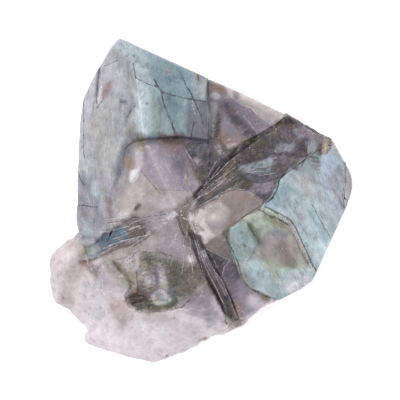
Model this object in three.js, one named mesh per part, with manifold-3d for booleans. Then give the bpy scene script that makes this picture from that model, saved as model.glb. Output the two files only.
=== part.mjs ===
// A partially polished emerald specimen: a hand-sized lump of milky quartz with two large
// emerald crystals, a small emerald blade and dark mica grown into it. Polished facets cross
// the quartz and the crystals alike; the lower left is natural, lumpy quartz. The stone lies
// on its flat underside.
//
// Millimetres, +Z up. The origin is on the surface it lies on, under the middle of its outline.
import * as THREE from "three";
import { ConvexGeometry } from "three/addons/geometries/ConvexGeometry.js";
import { mergeVertices } from "three/addons/utils/BufferGeometryUtils.js";
import Module from "manifold-3d";

const wasm = await Module();
wasm.setup();

// ---- driving sizes ----------------------------------------------------------------------
const FIT_GAP = 0.3; // between a crystal or mica body and the pocket that it sits in
const SKY = 40; // height that every cutting shape reaches, well above the stone
const NATURAL_RELIEF = 0.55; // how far natural quartz stands in and out of its mean surface
const NATURAL_PITCH = 9; // distance from one lump of natural quartz to the next
const NATURAL_EDGE = 2.7; // longest facet edge on natural quartz
const POLISH_FOOT = 9; // below this height the sides are natural
const NEST_DEPTH = 0.7; // the nest lies this far below the quartz round it
const NEST_RELIEF = 0.5;
const NEST_PITCH = 4;
const NEST_EDGE = 1.5;
const NEST_CRUST = 1.5; // the nest is crumbly above this height over its floor
const SLAB_RISE = 0.45; // the slab on the six-sided end stands this far above it
const STEP_WIDTH = 0.5; // growth step on the six-sided end
const STEP_DEPTH = 0.35;
const CREVICE_WIDTH = 1.1;
const CREVICE_DEPTH = 0.9;
const SEAM_CREST_WIDTH = 1;
const SEAM_CREST_HEIGHT = 0.35;
const BLADES_DROP = 0.3; // between its crests the mica lies this far below the quartz
const BLADE_CREST_WIDTH = 0.6;
const BLADE_CREST_HEIGHT = 0.3;
const HEART = [-4, -6, 9]; // middle of the stone, from which its relief stands out

// ---- colours ----------------------------------------------------------------------------
const MILKY_QUARTZ = { color: 0xcbc2c8, roughness: 0.35, metalness: 0 };
const PALE_EMERALD = { color: 0x9bb8c0, roughness: 0.25, metalness: 0 };
const TEAL_EMERALD = { color: 0x8fb4b8, roughness: 0.25, metalness: 0 };
const DARK_EMERALD = { color: 0x5f7480, roughness: 0.35, metalness: 0 };
const DARK_MICA = { color: 0x5d575b, roughness: 0.45, metalness: 0 };
const BROWN_MICA = { color: 0x5a4b50, roughness: 0.35, metalness: 0 };
const GREEN_MICA = { color: 0x6f7166, roughness: 0.6, metalness: 0 };

// ---- solids from three.js geometry ------------------------------------------------------
function solidOf(geometry) {
  const bare = new THREE.BufferGeometry();
  bare.setAttribute("position", geometry.getAttribute("position").clone());
  if (geometry.index) bare.setIndex(geometry.index.clone());
  const merged = mergeVertices(bare, 1e-4);
  const mesh = new wasm.Mesh({
    numProp: 3,
    vertProperties: merged.getAttribute("position").array,
    triVerts: new Uint32Array(merged.index.array),
  });
  return new wasm.Manifold(mesh);
}

function geometryOf(solid) {
  const mesh = solid.getMesh();
  const geometry = new THREE.BufferGeometry();
  geometry.setAttribute("position", new THREE.BufferAttribute(mesh.vertProperties, 3));
  geometry.setIndex(new THREE.BufferAttribute(mesh.triVerts, 1));
  return geometry;
}

function hullOf(points) {
  return solidOf(new ConvexGeometry(points.map(([x, y, z]) => new THREE.Vector3(x, y, z))));
}

function union(solids) {
  return solids.reduce((whole, solid) => whole.add(solid));
}

// A flat outline moved outwards by `grow`, each corner along the mean of its two sides.
function grownOutline(outline, grow) {
  return outline.map(([x, y], i) => {
    const [px, py] = outline.at(i - 1);
    const [nx, ny] = outline[(i + 1) % outline.length];
    const before = new THREE.Vector2(y - py, px - x).normalize();
    const after = new THREE.Vector2(ny - y, x - nx).normalize();
    const out = before.clone().add(after).normalize();
    const reach = grow / Math.max(out.dot(after), 0.6);
    return [x + out.x * reach, y + out.y * reach];
  });
}

// An upright column over an outline that runs anticlockwise, grown by `grow` on every side.
// Its floor is the plane through the three points of `floor`.
function column({ outline, floor }, grow = 0) {
  const points = grownOutline(outline, grow).map(([x, y]) => new THREE.Vector2(x, y));
  const settings = { depth: SKY, bevelEnabled: false };
  const upright = solidOf(new THREE.ExtrudeGeometry(new THREE.Shape(points), settings));
  return upright.subtract(below(facet(...floor), grow));
}

// ---- polished facets --------------------------------------------------------------------
// A facet is the plane through three points that lie on it.
function facet(...points) {
  const [a, b, c] = points.map((p) => new THREE.Vector3(...p));
  const plane = new THREE.Plane().setFromCoplanarPoints(a, b, c);
  return plane.normal.z < 0 ? plane.negate() : plane;
}

function heightOn(plane, x, y) {
  return -(plane.constant + plane.normal.x * x + plane.normal.y * y) / plane.normal.z;
}

// Height of the lowest of several facets over a point: the polished surface there.
function crownHeight(facets, x, y) {
  return Math.min(...facets.map((plane) => heightOn(plane, x, y)));
}

// A block whose lower (side 1) or upper (side -1) face lies `lift` above the facet.
function halfSpace(plane, lift, side) {
  const size = 160;
  const block = new THREE.BoxGeometry(size, size, size).translate(0, 0, (side * size) / 2);
  const turn = new THREE.Quaternion().setFromUnitVectors(new THREE.Vector3(0, 0, 1), plane.normal);
  const foot = plane.normal.clone().multiplyScalar(lift - plane.constant);
  block.applyMatrix4(new THREE.Matrix4().compose(foot, turn, new THREE.Vector3(1, 1, 1)));
  return solidOf(block);
}

function above(plane, lift = 0) {
  return halfSpace(plane, lift, 1);
}

function below(plane, drop = 0) {
  return halfSpace(plane, -drop, -1);
}

function polish(solid, facets, lift = 0) {
  return facets.reduce((rest, plane) => rest.subtract(above(plane, lift)), solid);
}

const QUARTZ_FACETS = [
  facet([-4.3, -2.5, 28.3], [-10, 11.5, 27.6], [2, 12, 27.2]), // middle
  facet([5.8, 19.9, 24.5], [14.4, 13.8, 23.3], [1.5, 5, 27.4]), // wedge at the upper right
  facet([5.8, 19.9, 24.5], [14.4, 13.8, 23.3], [10.5, 19, 21.9]), // strip along the top edge
  facet([1.5, 3, 27.4], [16.5, 5.3, 23.2], [18, 14.5, 20]), // over the dark seam
  facet([-4.3, -2.5, 28.3], [8.9, -2.9, 25.2], [5.8, -9.2, 24.4]), // beside the six-sided end
  facet([5.8, -9.2, 24.4], [-1, -12, 24.6], [9.5, -21.6, 16.5]), // down to the lower right
  facet([-4.3, -2.5, 28.3], [-1, -12, 24.6], [-14, -9, 21.5]), // down to the lower left
  facet([-4.3, -2.5, 28.3], [-16.7, 0, 23.4], [-12.7, 11.5, 26.8]), // beside the long limb
  facet([24, 6, 18.2], [29, 3, 13.6], [26, -1, 18.6]), // rim at the far right
];

const LARGE_CRYSTAL_FACETS = [
  facet([-12, 22, 29.5], [-10.9, 12.4, 29.9], [-23.3, 4, 15.6]), // grey prism face
  facet([-12, 22, 29.5], [-10.9, 12.4, 29.9], [1.6, 14, 28.2]), // teal prism face
  facet([-10.6, 22.4, 29.4], [1, 18.6, 28.3], [-6, 26.6, 25.5]), // polished end
];

const HEXAGON_FACETS = [
  facet([17, -3.5, 25.4], [22, -13.4, 23.8], [5.3, -7.1, 25.3]), // six-sided end
  facet([12.4, -1.4, 25.2], [17, -3.5, 25.4], [19, 13, 20.6]), // prism face at the top
  facet([17, -3.5, 25.4], [22, -13.4, 23.8], [27.4, -2.1, 17]), // prism face at the right
];

// ---- outlines seen from above -----------------------------------------------------------
// The ground block: x, y, height where its wall starts to fall in, and the share by which
// its foot is drawn in towards the middle.
const BLOCK_OUTLINE = [
  [-16.8, 29, 9, 0.24],
  [-19.9, 23.9, 11, 0.26],
  [-22.2, 19.3, 13, 0.28],
  [-22.9, 14, 15, 0.3],
  [-23.4, 1, 15.3, 0.28],
  [-23.6, -3.6, 14.6, 0.24],
  [-22.9, -6.1, 13, 0.2],
  [-14, -18, 8, 0.1],
  [6.3, -23.3, 9, 0.2],
  [9.5, -21.6, 10, 0.22],
  [15.2, -18.5, 12, 0.26],
  [18.8, -16.9, 13, 0.28],
  [21.2, -15.3, 13.5, 0.28],
  [22, -13.4, 13, 0.26],
  [27.4, -2.1, 10.5, 0.24],
  [28.8, 1.4, 10, 0.25],
  [29.1, 3.1, 10, 0.25],
  [28.8, 4.9, 10, 0.25],
  [26.9, 8.5, 10, 0.22],
  [25.1, 11.7, 9.5, 0.2],
  [16.7, 16.2, 8, 0.14],
  [-13.7, 30.1, 7, 0.18],
  [-15.3, 30.7, 8, 0.2],
];

const LARGE_CRYSTAL = {
  outline: [
    [-26, -6.2],
    [-22.6, -6.2],
    [-21.3, -7.2],
    [-19, -7.6],
    [-17.2, -6.9],
    [-16.5, -3.9],
    [-16.6, 0.1],
    [-14.9, 6.6],
    [-14.3, 10.2],
    [-12.6, 11.4],
    [-9.5, 11.9],
    [-3.8, 12.2],
    [1.7, 11.4],
    [1.9, 16.2],
    [1.2, 19.1],
    [1.3, 26],
    [-10, 34],
    [-26, 34],
  ],
  floor: [[-23, -5, 12.5], [-23, 28, 3.5], [2, 18, 8.5]],
};

const HEXAGON = {
  outline: [
    [5.8, -5.2],
    [5.3, -7.1],
    [5.8, -9.2],
    [6.7, -11.9],
    [7.8, -14.5],
    [9.5, -16.4],
    [11.2, -17.1],
    [13.1, -18],
    [14.8, -18.4],
    [15.5, -21],
    [24, -21],
    [31, -2],
    [26.9, 0.2],
    [27.3, 3],
    [27.3, 7.2],
    [25.9, 9.8],
    [23.4, 10.2],
    [21.2, 8.8],
    [19, 7.1],
    [16.5, 5.3],
    [15, 4],
    [14.6, 2.2],
    [13.8, 0.5],
    [11.8, -1.2],
    [8.9, -2.9],
    [7.6, -3.9],
  ],
  floor: [[5.8, -9, 17], [20, -16, 8.6], [27, 4, 10.4]],
};

const SMALL_BLADE = {
  outline: [
    [-21.8, -8.6],
    [-21.4, -10.4],
    [-19.6, -10.6],
    [-16.7, -8.6],
    [-13.7, -7.3],
    [-10.6, -6.1],
    [-12.2, -3.4],
    [-14.6, -4.8],
    [-16.1, -5.1],
    [-17, -7.6],
    [-19.4, -8.3],
  ],
  floor: [[-21, -9, 13], [-12, -5, 18.5], [-16, -9.5, 14]],
};

const SEAM = {
  outline: [
    [-0.9, 0.9],
    [1, 1.9],
    [4.6, 2.3],
    [8.7, 2.3],
    [11.2, 0.9],
    [12.3, -0.3],
    [16, 3],
    [24.2, 10.8],
    [26, 13],
    [19, 20],
    [16.4, 16],
    [14.3, 13.8],
    [10.4, 11.9],
    [6.8, 10],
    [4.2, 8.7],
    [2.7, 9.7],
    [1.7, 11.2],
    [-1.9, 10.6],
    [-2.1, 7.7],
    [-2, 3.5],
  ],
  floor: [[-1, 4, 21.5], [20, 14, 6.5], [14, 3, 13.5]],
};

const MICA_BLADES = {
  outline: [
    [-4.5, -3.2],
    [-2.4, -7.2],
    [-0.8, -9.6],
    [1.1, -13.8],
    [4, -19.6],
    [5.9, -24.5],
    [8, -24.5],
    [7, -21.6],
    [4.3, -15.2],
    [1.6, -10.6],
    [-0.8, -7.2],
    [-2.7, -4],
  ],
  floor: [[-3, -5, 23], [6, -23, 9.5], [0, -16, 16]],
};

const NEST = {
  outline: [
    [-16.5, -11.3],
    [-14.4, -14.2],
    [-12.8, -15.9],
    [-14.2, -18],
    [-13.3, -20],
    [-8.9, -21],
    [-4.2, -20.4],
    [-1.8, -18.2],
    [-0.6, -15.6],
    [-1, -12.9],
    [-6.1, -10.4],
    [-11.2, -9.6],
    [-13.7, -10.5],
  ],
  floor: [[-14, -12, 15.5], [-2, -13, 18], [-8, -21, 12.4]],
};

// Natural lumps of quartz: each is the hull of its outline at two heights, its shoulder
// points and its foot.
const LEFT_LUMP = {
  rim: [
    [-22.6, -5.6],
    [-25.2, -7.8],
    [-27.5, -9.6],
    [-28.5, -11.5],
    [-28.8, -13.8],
    [-28.7, -16],
    [-27.6, -19.2],
    [-24.8, -21.4],
    [-21.4, -24.2],
    [-12, -23],
    [-12, -8],
  ],
  rimHeights: [7, 9.5],
  shoulder: [
    [-21, -8, 19.4],
    [-24.6, -10.6, 16.8],
    [-26.4, -14, 14.6],
    [-24.6, -18.4, 14],
    [-19, -21.6, 15],
    [-12, -17, 19.6],
    [-13, -10, 21.6],
  ],
  foot: 0.24,
};

const BOTTOM_LUMP = {
  rim: [
    [-21, -24],
    [-21.9, -25.7],
    [-21.9, -26.7],
    [-17.7, -28.4],
    [-13, -29.6],
    [-11.2, -30.2],
    [-9.1, -30.6],
    [-7.3, -30.3],
    [-3.7, -28.9],
    [1.5, -26.6],
    [1.9, -24.8],
    [4, -20],
    [-18, -18],
  ],
  rimHeights: [6, 8.5],
  shoulder: [
    [-19.6, -25, 12.6],
    [-13.4, -27.4, 12.8],
    [-8.6, -28.4, 12.2],
    [-2.6, -26, 13.4],
    [0.6, -22, 17.4],
    [-6.4, -19.4, 20],
    [-14.6, -20.2, 17.6],
  ],
  foot: 0.22,
};

const BRIDGE_LUMP = {
  rim: [
    [-23, -19],
    [-22.2, -22.8],
    [-21.2, -24.8],
    [-17, -27],
    [-8, -24],
    [-10, -16],
    [-18, -16],
  ],
  rimHeights: [5, 9.5],
  shoulder: [
    [-20.4, -22.4, 13.6],
    [-16.4, -24.4, 14.6],
    [-12, -20.6, 18.4],
    [-17, -18.4, 17.8],
  ],
  foot: 0.2,
};

const LOW_LUMP = {
  rim: [
    [-1.6, -26.6],
    [3.4, -25.2],
    [6.4, -23.8],
    [9.8, -22],
    [13, -20],
    [11, -15],
    [-4, -16],
  ],
  rimHeights: [7, 11],
  shoulder: [
    [0, -23.2, 16.2],
    [5.6, -22, 16.2],
    [9.6, -19.4, 18],
    [-1.4, -16.2, 22],
  ],
  foot: 0.22,
};

// Fills the stone's underside between the block and the natural lumps.
const UNDER_LUMP = {
  rim: [
    [-20, -6],
    [-23, -12],
    [-21, -20],
    [-14, -25],
    [0, -24],
    [6, -16],
    [-4, -4],
  ],
  rimHeights: [3, 12],
  shoulder: [],
  foot: 0.1,
};

// What stands above the polished quartz, as x, y, radius and height over it: the smooth
// bulge beside the six-sided end, and the small knobs of broken quartz next to it.
const BULGE = [2.9, -3.3, 2.7, 0.7];
const BULGE_SHOULDER = [4.6, -1.6, 2.7, 0.45];
const BROKEN_KNOBS = [
  [-1.2, -3.4, 1.1, 0.3],
  [0.4, -4.6, 1.2, 0.5],
  [1.4, -6.6, 1.1, 0.4],
  [-0.4, -6, 0.9, 0.35],
];

// The slab on the six-sided end, at its left corner; its level floor lies in the crystal.
const SLAB = {
  outline: [
    [5.9, -5.2],
    [5.5, -7.1],
    [6, -9.1],
    [6.7, -11],
    [9, -11.4],
    [11.1, -7.8],
    [10, -6.2],
    [8.9, -4.2],
    [8.2, -4],
    [7.6, -4],
  ],
  floor: [[0, 0, 20], [1, 0, 20], [0, 1, 20]],
};

// The step where a flake of mica has come off the edge beside the wedge.
const FLAKED_EDGE = [
  [19.4, 16.5],
  [19.7, 13.8],
  [22.4, 12.6],
  [25.6, 11.5],
  [27, 14],
];

// The open crevice between the wedge and the mica seam.
const CREVICE = [
  [-2.2, -1.2],
  [-0.8, 1],
  [1.9, 4.1],
  [4.2, 7.2],
  [7.6, 9.8],
  [10.6, 11.9],
  [16.4, 15.4],
];

// The crest along the lower side of the mica seam.
const SEAM_CREST = [
  [0.6, 2.4],
  [4.6, 4.8],
  [7, 6.6],
  [10, 8],
];

// The crests of the two mica blades.
const BLADE_CRESTS = [
  [
    [-2.6, -5.6],
    [-0.4, -9.4],
    [1.9, -14.1],
    [4.1, -18.6],
    [5.9, -22.6],
  ],
  [
    [-1.9, -4.6],
    [0.9, -10.6],
    [3.6, -15.2],
    [5.2, -18.6],
    [6.7, -22.2],
  ],
];

// The corners of the cleavage notch: x, y and depth below the surface.
const CLEAVAGE_NOTCH = [
  [2, -10, 0.3],
  [5.2, -11.3, 0.65],
  [4.7, -13.6, 1],
];

// The growth step round the upper right of the six-sided end.
const STEP_LINE = [
  [11.6, -1.7],
  [14.2, -2.5],
  [16.7, -3.9],
  [18.2, -6.6],
  [19.9, -9.8],
  [21.6, -13.2],
];

// ---- natural relief ---------------------------------------------------------------------
// Broad unevenness between -1 and 1, as broken and weathered quartz has.
function unevenness({ x, y, z }, pitch) {
  const [u, v, w] = [x, y, z].map((place) => (place * 2 * Math.PI) / pitch);
  const broad = Math.sin(u + 1.3 * Math.sin(0.7 * v + w)) * Math.cos(0.8 * v - 0.6 * w);
  const cross = Math.sin(0.9 * w + 1.1 * Math.sin(1.1 * u - 0.5 * v) + 2);
  const fine = Math.sin(2.1 * u - 1.7 * v + 1.9 * w) * Math.cos(1.8 * v + 2.3 * w + 1);
  return 0.45 * broad + 0.3 * cross + 0.25 * fine;
}

// Splits every edge longer than edgeLimit(point) at its middle until none is left.
function refine(geometry, edgeLimit) {
  const positions = geometry.index ? geometry.toNonIndexed() : geometry;
  const flat = positions.getAttribute("position");
  const corners = Array.from({ length: flat.count }, (_, i) =>
    new THREE.Vector3().fromBufferAttribute(flat, i),
  );
  let open = [];
  for (let i = 0; i < corners.length; i += 3) open.push(corners.slice(i, i + 3));
  const done = [];
  while (open.length) {
    const next = [];
    for (const [a, b, c] of open) {
      const excess = [
        [a, b, c],
        [b, c, a],
        [c, a, b],
      ].map(([from, to, opposite]) => {
        const middle = from.clone().lerp(to, 0.5);
        return { from, to, opposite, middle, over: from.distanceTo(to) / edgeLimit(middle) };
      });
      const worst = excess.reduce((most, edge) => (edge.over > most.over ? edge : most));
      if (worst.over <= 1) {
        done.push([a, b, c]);
      } else {
        next.push([worst.from, worst.middle, worst.opposite]);
        next.push([worst.middle, worst.to, worst.opposite]);
      }
    }
    open = next;
  }
  return new THREE.BufferGeometry().setFromPoints(done.flat());
}

// Moves every point in or out by depthAt(point), away from or towards the stone's heart.
function roughen(solid, edgeLimit, depthAt) {
  const geometry = refine(geometryOf(solid), edgeLimit);
  const place = geometry.getAttribute("position");
  const point = new THREE.Vector3();
  const heart = new THREE.Vector3(...HEART);
  for (let i = 0; i < place.count; i++) {
    point.fromBufferAttribute(place, i);
    const out = point.clone().sub(heart).normalize();
    point.addScaledVector(out, depthAt(point));
    place.setXYZ(i, point.x, point.y, point.z);
  }
  return solidOf(geometry);
}

// 0 on the polished part, 1 on the natural quartz at the lower left and round the foot.
function naturalness({ x, y, z }) {
  const pastMiddle = -(0.55 * x + 0.84 * y) - 10.5;
  const lowerLeft = THREE.MathUtils.smoothstep(pastMiddle, 0, 5);
  const foot = THREE.MathUtils.smoothstep(POLISH_FOOT - z, 0, 3);
  return Math.max(lowerLeft, foot);
}

// ---- grooves, ledges and pits -----------------------------------------------------------
// A bar along a path on a polished surface. `levels` lists the half width of its section at
// each height over the surface, so that it can cut a groove or stand as a ridge.
function surfaceBar(facets, path, levels) {
  const section = ([x, y], way) => {
    const z = crownHeight(facets, x, y);
    return levels.flatMap(([half, height]) => [
      [x - way.y * half, y + way.x * half, z + height],
      [x + way.y * half, y - way.x * half, z + height],
    ]);
  };
  const runs = path.slice(1).map((end, i) => {
    const start = path[i];
    const way = new THREE.Vector2(end[0] - start[0], end[1] - start[1]).normalize();
    return hullOf([...section(start, way), ...section(end, way)]);
  });
  return union(runs);
}

function groove(facets, path, width, depth) {
  return surfaceBar(facets, path, [
    [width * 0.05, -depth],
    [width / 2, 0.05],
    [width, 2],
  ]);
}

function ridge(facets, path, width, height) {
  return surfaceBar(facets, path, [
    [width / 2, -1],
    [width / 2, -0.1],
    [width * 0.1, height],
  ]);
}

function lump({ rim, rimHeights, shoulder, foot }) {
  const middle = rim.reduce(([mx, my], [x, y]) => [mx + x / rim.length, my + y / rim.length], [0, 0]);
  const drawnIn = rim.map(([x, y]) => [x + (middle[0] - x) * foot, y + (middle[1] - y) * foot, -1]);
  const walls = rimHeights.flatMap((z) => rim.map(([x, y]) => [x, y, z]));
  return hullOf([...walls, ...shoulder, ...drawnIn]);
}

// ---- the stone --------------------------------------------------------------------------
const UNDER_THE_STONE = solidOf(new THREE.BoxGeometry(200, 200, 40).translate(0, 0, -20));

// The ground block before its top is polished: upright walls that fall in towards the foot.
function groundBlock() {
  return hullOf(
    BLOCK_OUTLINE.flatMap(([x, y, wallFoot, drawnIn]) => [
      [x, y, SKY - 5],
      [x, y, wallFoot],
      [x * (1 - drawnIn), y * (1 - drawnIn), -1],
    ]),
  );
}

const block = groundBlock();

const flakedEdge = hullOf(
  FLAKED_EDGE.flatMap(([x, y]) => [
    [x, y, 12],
    [x, y, SKY],
  ]),
);

// An ellipsoid that stands out of the polished quartz: round at detail 3, angular at 0.
function swelling([x, y, radius, rise], detail) {
  const depth = radius * 1.2;
  const ball = new THREE.IcosahedronGeometry(1, detail).scale(radius, radius * 0.9, depth);
  const heart = crownHeight(QUARTZ_FACETS, x, y) + rise - depth;
  return solidOf(ball.translate(x, y, heart));
}

// The hollow left by a three-sided cleavage flake between the blades and the six-sided end.
function cleavageNotch() {
  return hullOf(
    CLEAVAGE_NOTCH.flatMap(([x, y, depth]) => {
      const z = crownHeight(QUARTZ_FACETS, x, y);
      return [
        [x, y, z + 1.5],
        [x, y, z - depth],
      ];
    }),
  );
}

// The polished block and the natural lumps as one rough body, before the crystals' pockets.
function quartzBody() {
  const body = union([
    polish(block, QUARTZ_FACETS),
    lump(LEFT_LUMP),
    lump(BOTTOM_LUMP),
    lump(BRIDGE_LUMP),
    lump(LOW_LUMP),
    lump(UNDER_LUMP),
  ]);
  const edgeLimit = (p) => (naturalness(p) > 0 ? NATURAL_EDGE : SKY * 4);
  const relief = (p) => NATURAL_RELIEF * naturalness(p) * unevenness(p, NATURAL_PITCH);
  return roughen(body, edgeLimit, relief).subtract(UNDER_THE_STONE);
}

function swellings() {
  const smooth = [BULGE, BULGE_SHOULDER].map((bulge) => swelling(bulge, 3));
  const angular = BROKEN_KNOBS.map((knob) => swelling(knob, 0));
  return union([...smooth, ...angular]);
}

const quartz = quartzBody();
const crevice = groove(QUARTZ_FACETS, CREVICE, CREVICE_WIDTH, CREVICE_DEPTH);

function quartzMatrix() {
  const pockets = [
    column(LARGE_CRYSTAL, FIT_GAP),
    column(HEXAGON, FIT_GAP),
    column(SMALL_BLADE, FIT_GAP),
    column(SEAM, FIT_GAP),
    column(MICA_BLADES, FIT_GAP),
    column(NEST, FIT_GAP),
  ];
  const carved = quartz.add(swellings()).subtract(crevice).subtract(cleavageNotch());
  return pockets.reduce((rest, pocket) => rest.subtract(pocket), carved);
}

function largeCrystal() {
  return polish(block, LARGE_CRYSTAL_FACETS).intersect(column(LARGE_CRYSTAL));
}

function hexagonalCrystal() {
  const ground = polish(block, HEXAGON_FACETS);
  const raised = polish(block, HEXAGON_FACETS, SLAB_RISE).intersect(column(SLAB));
  const stepLine = groove(HEXAGON_FACETS, STEP_LINE, STEP_WIDTH, STEP_DEPTH);
  return ground.add(raised).intersect(column(HEXAGON)).subtract(stepLine);
}

function smallBlade() {
  return quartz
    .intersect(column(SMALL_BLADE))
    .subtract(column(LARGE_CRYSTAL, FIT_GAP));
}

function micaSeam() {
  const crest = ridge(QUARTZ_FACETS, SEAM_CREST, SEAM_CREST_WIDTH, SEAM_CREST_HEIGHT);
  return quartz
    .intersect(column(SEAM))
    .subtract(column(LARGE_CRYSTAL, FIT_GAP))
    .subtract(column(HEXAGON, FIT_GAP))
    .subtract(crevice)
    .subtract(flakedEdge)
    .add(crest);
}

function micaBlades() {
  const crests = BLADE_CRESTS.map((path) =>
    ridge(QUARTZ_FACETS, path, BLADE_CREST_WIDTH, BLADE_CREST_HEIGHT),
  );
  const body = union([polish(quartz, QUARTZ_FACETS, -BLADES_DROP), ...crests]);
  return body.intersect(column(MICA_BLADES));
}

// The nest's crumbly top lies a little below the quartz; its floor stays flat.
function micaNest() {
  const floor = facet(...NEST.floor);
  const nearTop = (p) => p.z - heightOn(floor, p.x, p.y) > NEST_CRUST;
  const sunk = roughen(
    quartz.intersect(column(NEST, 1)),
    (p) => (nearTop(p) ? NEST_EDGE : SKY),
    (p) => (nearTop(p) ? NEST_RELIEF * unevenness(p, NEST_PITCH) - NEST_DEPTH : 0),
  );
  return sunk.intersect(column(NEST));
}

// ---- the assembly -----------------------------------------------------------------------
function piece(name, solid, finish) {
  const mesh = new THREE.Mesh(geometryOf(solid), new THREE.MeshStandardMaterial(finish));
  mesh.name = name;
  return mesh;
}

const specimen = new THREE.Group();
specimen.name = "emerald_specimen";
specimen.add(piece("quartz_matrix", quartzMatrix(), MILKY_QUARTZ));
specimen.add(piece("large_emerald_crystal", largeCrystal(), PALE_EMERALD));
specimen.add(piece("hexagonal_emerald_crystal", hexagonalCrystal(), TEAL_EMERALD));
specimen.add(piece("small_emerald_blade", smallBlade(), DARK_EMERALD));
specimen.add(piece("mica_seam", micaSeam(), DARK_MICA));
specimen.add(piece("mica_blades", micaBlades(), BROWN_MICA));
specimen.add(piece("mica_nest", micaNest(), GREEN_MICA));

export default specimen;
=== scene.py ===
import itertools
import math
from collections import namedtuple

import bmesh
import bpy
import numpy as np
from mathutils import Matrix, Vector
from mathutils.bvhtree import BVHTree


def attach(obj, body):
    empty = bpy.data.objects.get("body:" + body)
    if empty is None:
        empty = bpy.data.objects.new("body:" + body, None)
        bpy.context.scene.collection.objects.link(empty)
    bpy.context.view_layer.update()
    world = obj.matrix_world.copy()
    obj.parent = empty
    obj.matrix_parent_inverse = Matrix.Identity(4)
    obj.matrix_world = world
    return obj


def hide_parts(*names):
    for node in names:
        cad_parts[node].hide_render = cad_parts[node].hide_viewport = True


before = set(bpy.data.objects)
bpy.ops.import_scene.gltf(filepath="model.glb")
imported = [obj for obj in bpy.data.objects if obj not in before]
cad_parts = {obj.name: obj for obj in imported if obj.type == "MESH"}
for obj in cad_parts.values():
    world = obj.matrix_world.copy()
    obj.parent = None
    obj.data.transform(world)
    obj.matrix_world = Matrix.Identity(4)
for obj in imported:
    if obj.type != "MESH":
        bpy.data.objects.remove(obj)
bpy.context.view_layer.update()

MM = 0.001
FAR = 3.0  # stands for "no line near here", in millimetres
LINE_REACH = 0.6  # a line is felt this far to each side
LINE_JOG = 0.055  # cracks run this crookedly
LINE_WANDER = 0.07  # and leave their paths by this much, in longer bends
TOUCH = 0.05  # how far a crystal reaches into the quartz that it has grown against
GAP_REACH = 0.9  # the play round a crystal is closed by moving the outermost part of it
FIT_GAP = 0.3  # the play that the solids leave between a crystal and its pocket
RIM_DROP = 0.8  # no rim is rounded off by more than this
SHELF_LEVEL = 0.02  # what lies lower than this belongs to the flat underside
SEED = 11

# How finely each body is meshed, in millimetres.
QUARTZ_VOXEL = 0.34
LARGE_VOXEL = 0.25
HEXAGON_VOXEL = 0.21
SEAM_VOXEL = 0.2
SMALL_VOXEL = 0.16

# Relief, in millimetres.
LOBE_WAY = (0.55, 0.84)  # points from the natural lobe at the lower left to the middle
LOBE_START = 10.5  # the lobe begins this far from the middle
POLISH_FOOT = 9  # below this height the sides are natural
WALL_FOOT = 18  # below this height the walls of the crystals are chipped
NATURAL_LUMPS = 0.45
NATURAL_CHIPS = 0.28
NATURAL_LEDGES = 0.7
NATURAL_SUGAR = 0.05
WEATHERED_FOOT = 0.3  # how much of the walls' stains the low upward faces take
WALL_HOLLOWS = 1.1  # how deep broken faces cut into the unpolished walls
APART = 3.2  # the walls keep their line for this far from a neighbour
WALL_TOP = 19  # below this height the walls are broken rather than cut
WALL_RELIEF = 0.45  # how rough the upper walls are, against the natural foot
POLISH_WANDER = 0.03
PIT_DEPTH = 0.12
BROKEN_RELIEF = 0.2
STRIATION_HEIGHT = 0.03
NEST_RIM = 0.38
CONTACT_STAIN = 2.6  # stains reach this far from a contact
NEST_EASE = 24  # rounds of easing for the nest's rim
CREST_EASE = 9  # rounds of easing for crests that are polished round
CREST_ROUNDS = 6  # rounds of easing that crests are told from
CREST_RISE = 0.1  # a crest this far above its surroundings gets the full painted highlight, a hollow this deep the full painted shade
# How much the tint is lightened on crests as a painted highlight and darkened in hollows as painted shade.
CREST_PAINTED_HIGHLIGHT = 0.08
HOLLOW_PAINTED_SHADE = 0.16

# The ways that growth lines and mica leaves run.
PRISM_AXIS = (0.07, 1, 0)
HEXAGON_EDGE = (0.47, -0.88, 0)
SMALL_BLADE_WAY = (0.94, 0.34, 0)
SEAM_WAY = (0.76, 0.65, 0)
MICA_BLADE_WAY = (0.47, -0.88, 0)

# Loose leaves and crumbs, in metres.
LEAF_SIZES = {
    "Density": 1.2 / MM**2,
    "Size": 0.16 * MM,
    "Thickness": 0.03 * MM,
    "Tilt": 0.5,
    "Sink": 0.0,
}
CRUMB_SIZES = {
    "Density": 1.0 / MM**2,
    "Size": 0.2 * MM,
    "Tilt": 1.5,
    "Sink": 0.06 * MM,
}
CREST_STEP = 0.15  # in millimetres, as are the next two, half of a crest's width
QUARTZ_CREST = 0.05
MICA_CREST = 0.045
CREST_SIZES = {
    "Wander": 0.12 * MM,
    "Step": CREST_STEP * MM,
}
SKY = 0.05  # well above the stone, in metres
DOWN = Vector((0, 0, -1))

# The stage, in metres.
FLOOR_HALF = 1.5
WORLD_LIGHT = 0.6
OVERHEAD_PLACE = (-0.5, 0.35, 1.6)
OVERHEAD_SIZE = 0.9
OVERHEAD_POWER = 15.5
FLOOR_GLOW = 0.5
CAMERA_HEIGHT = 2.0
VIEW_LEVEL = 0.014  # the height at which the view is VIEW_WIDTH across
VIEW_WIDTH = 0.076
VIEW_MIDDLE = (0, 0.0001)

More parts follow.
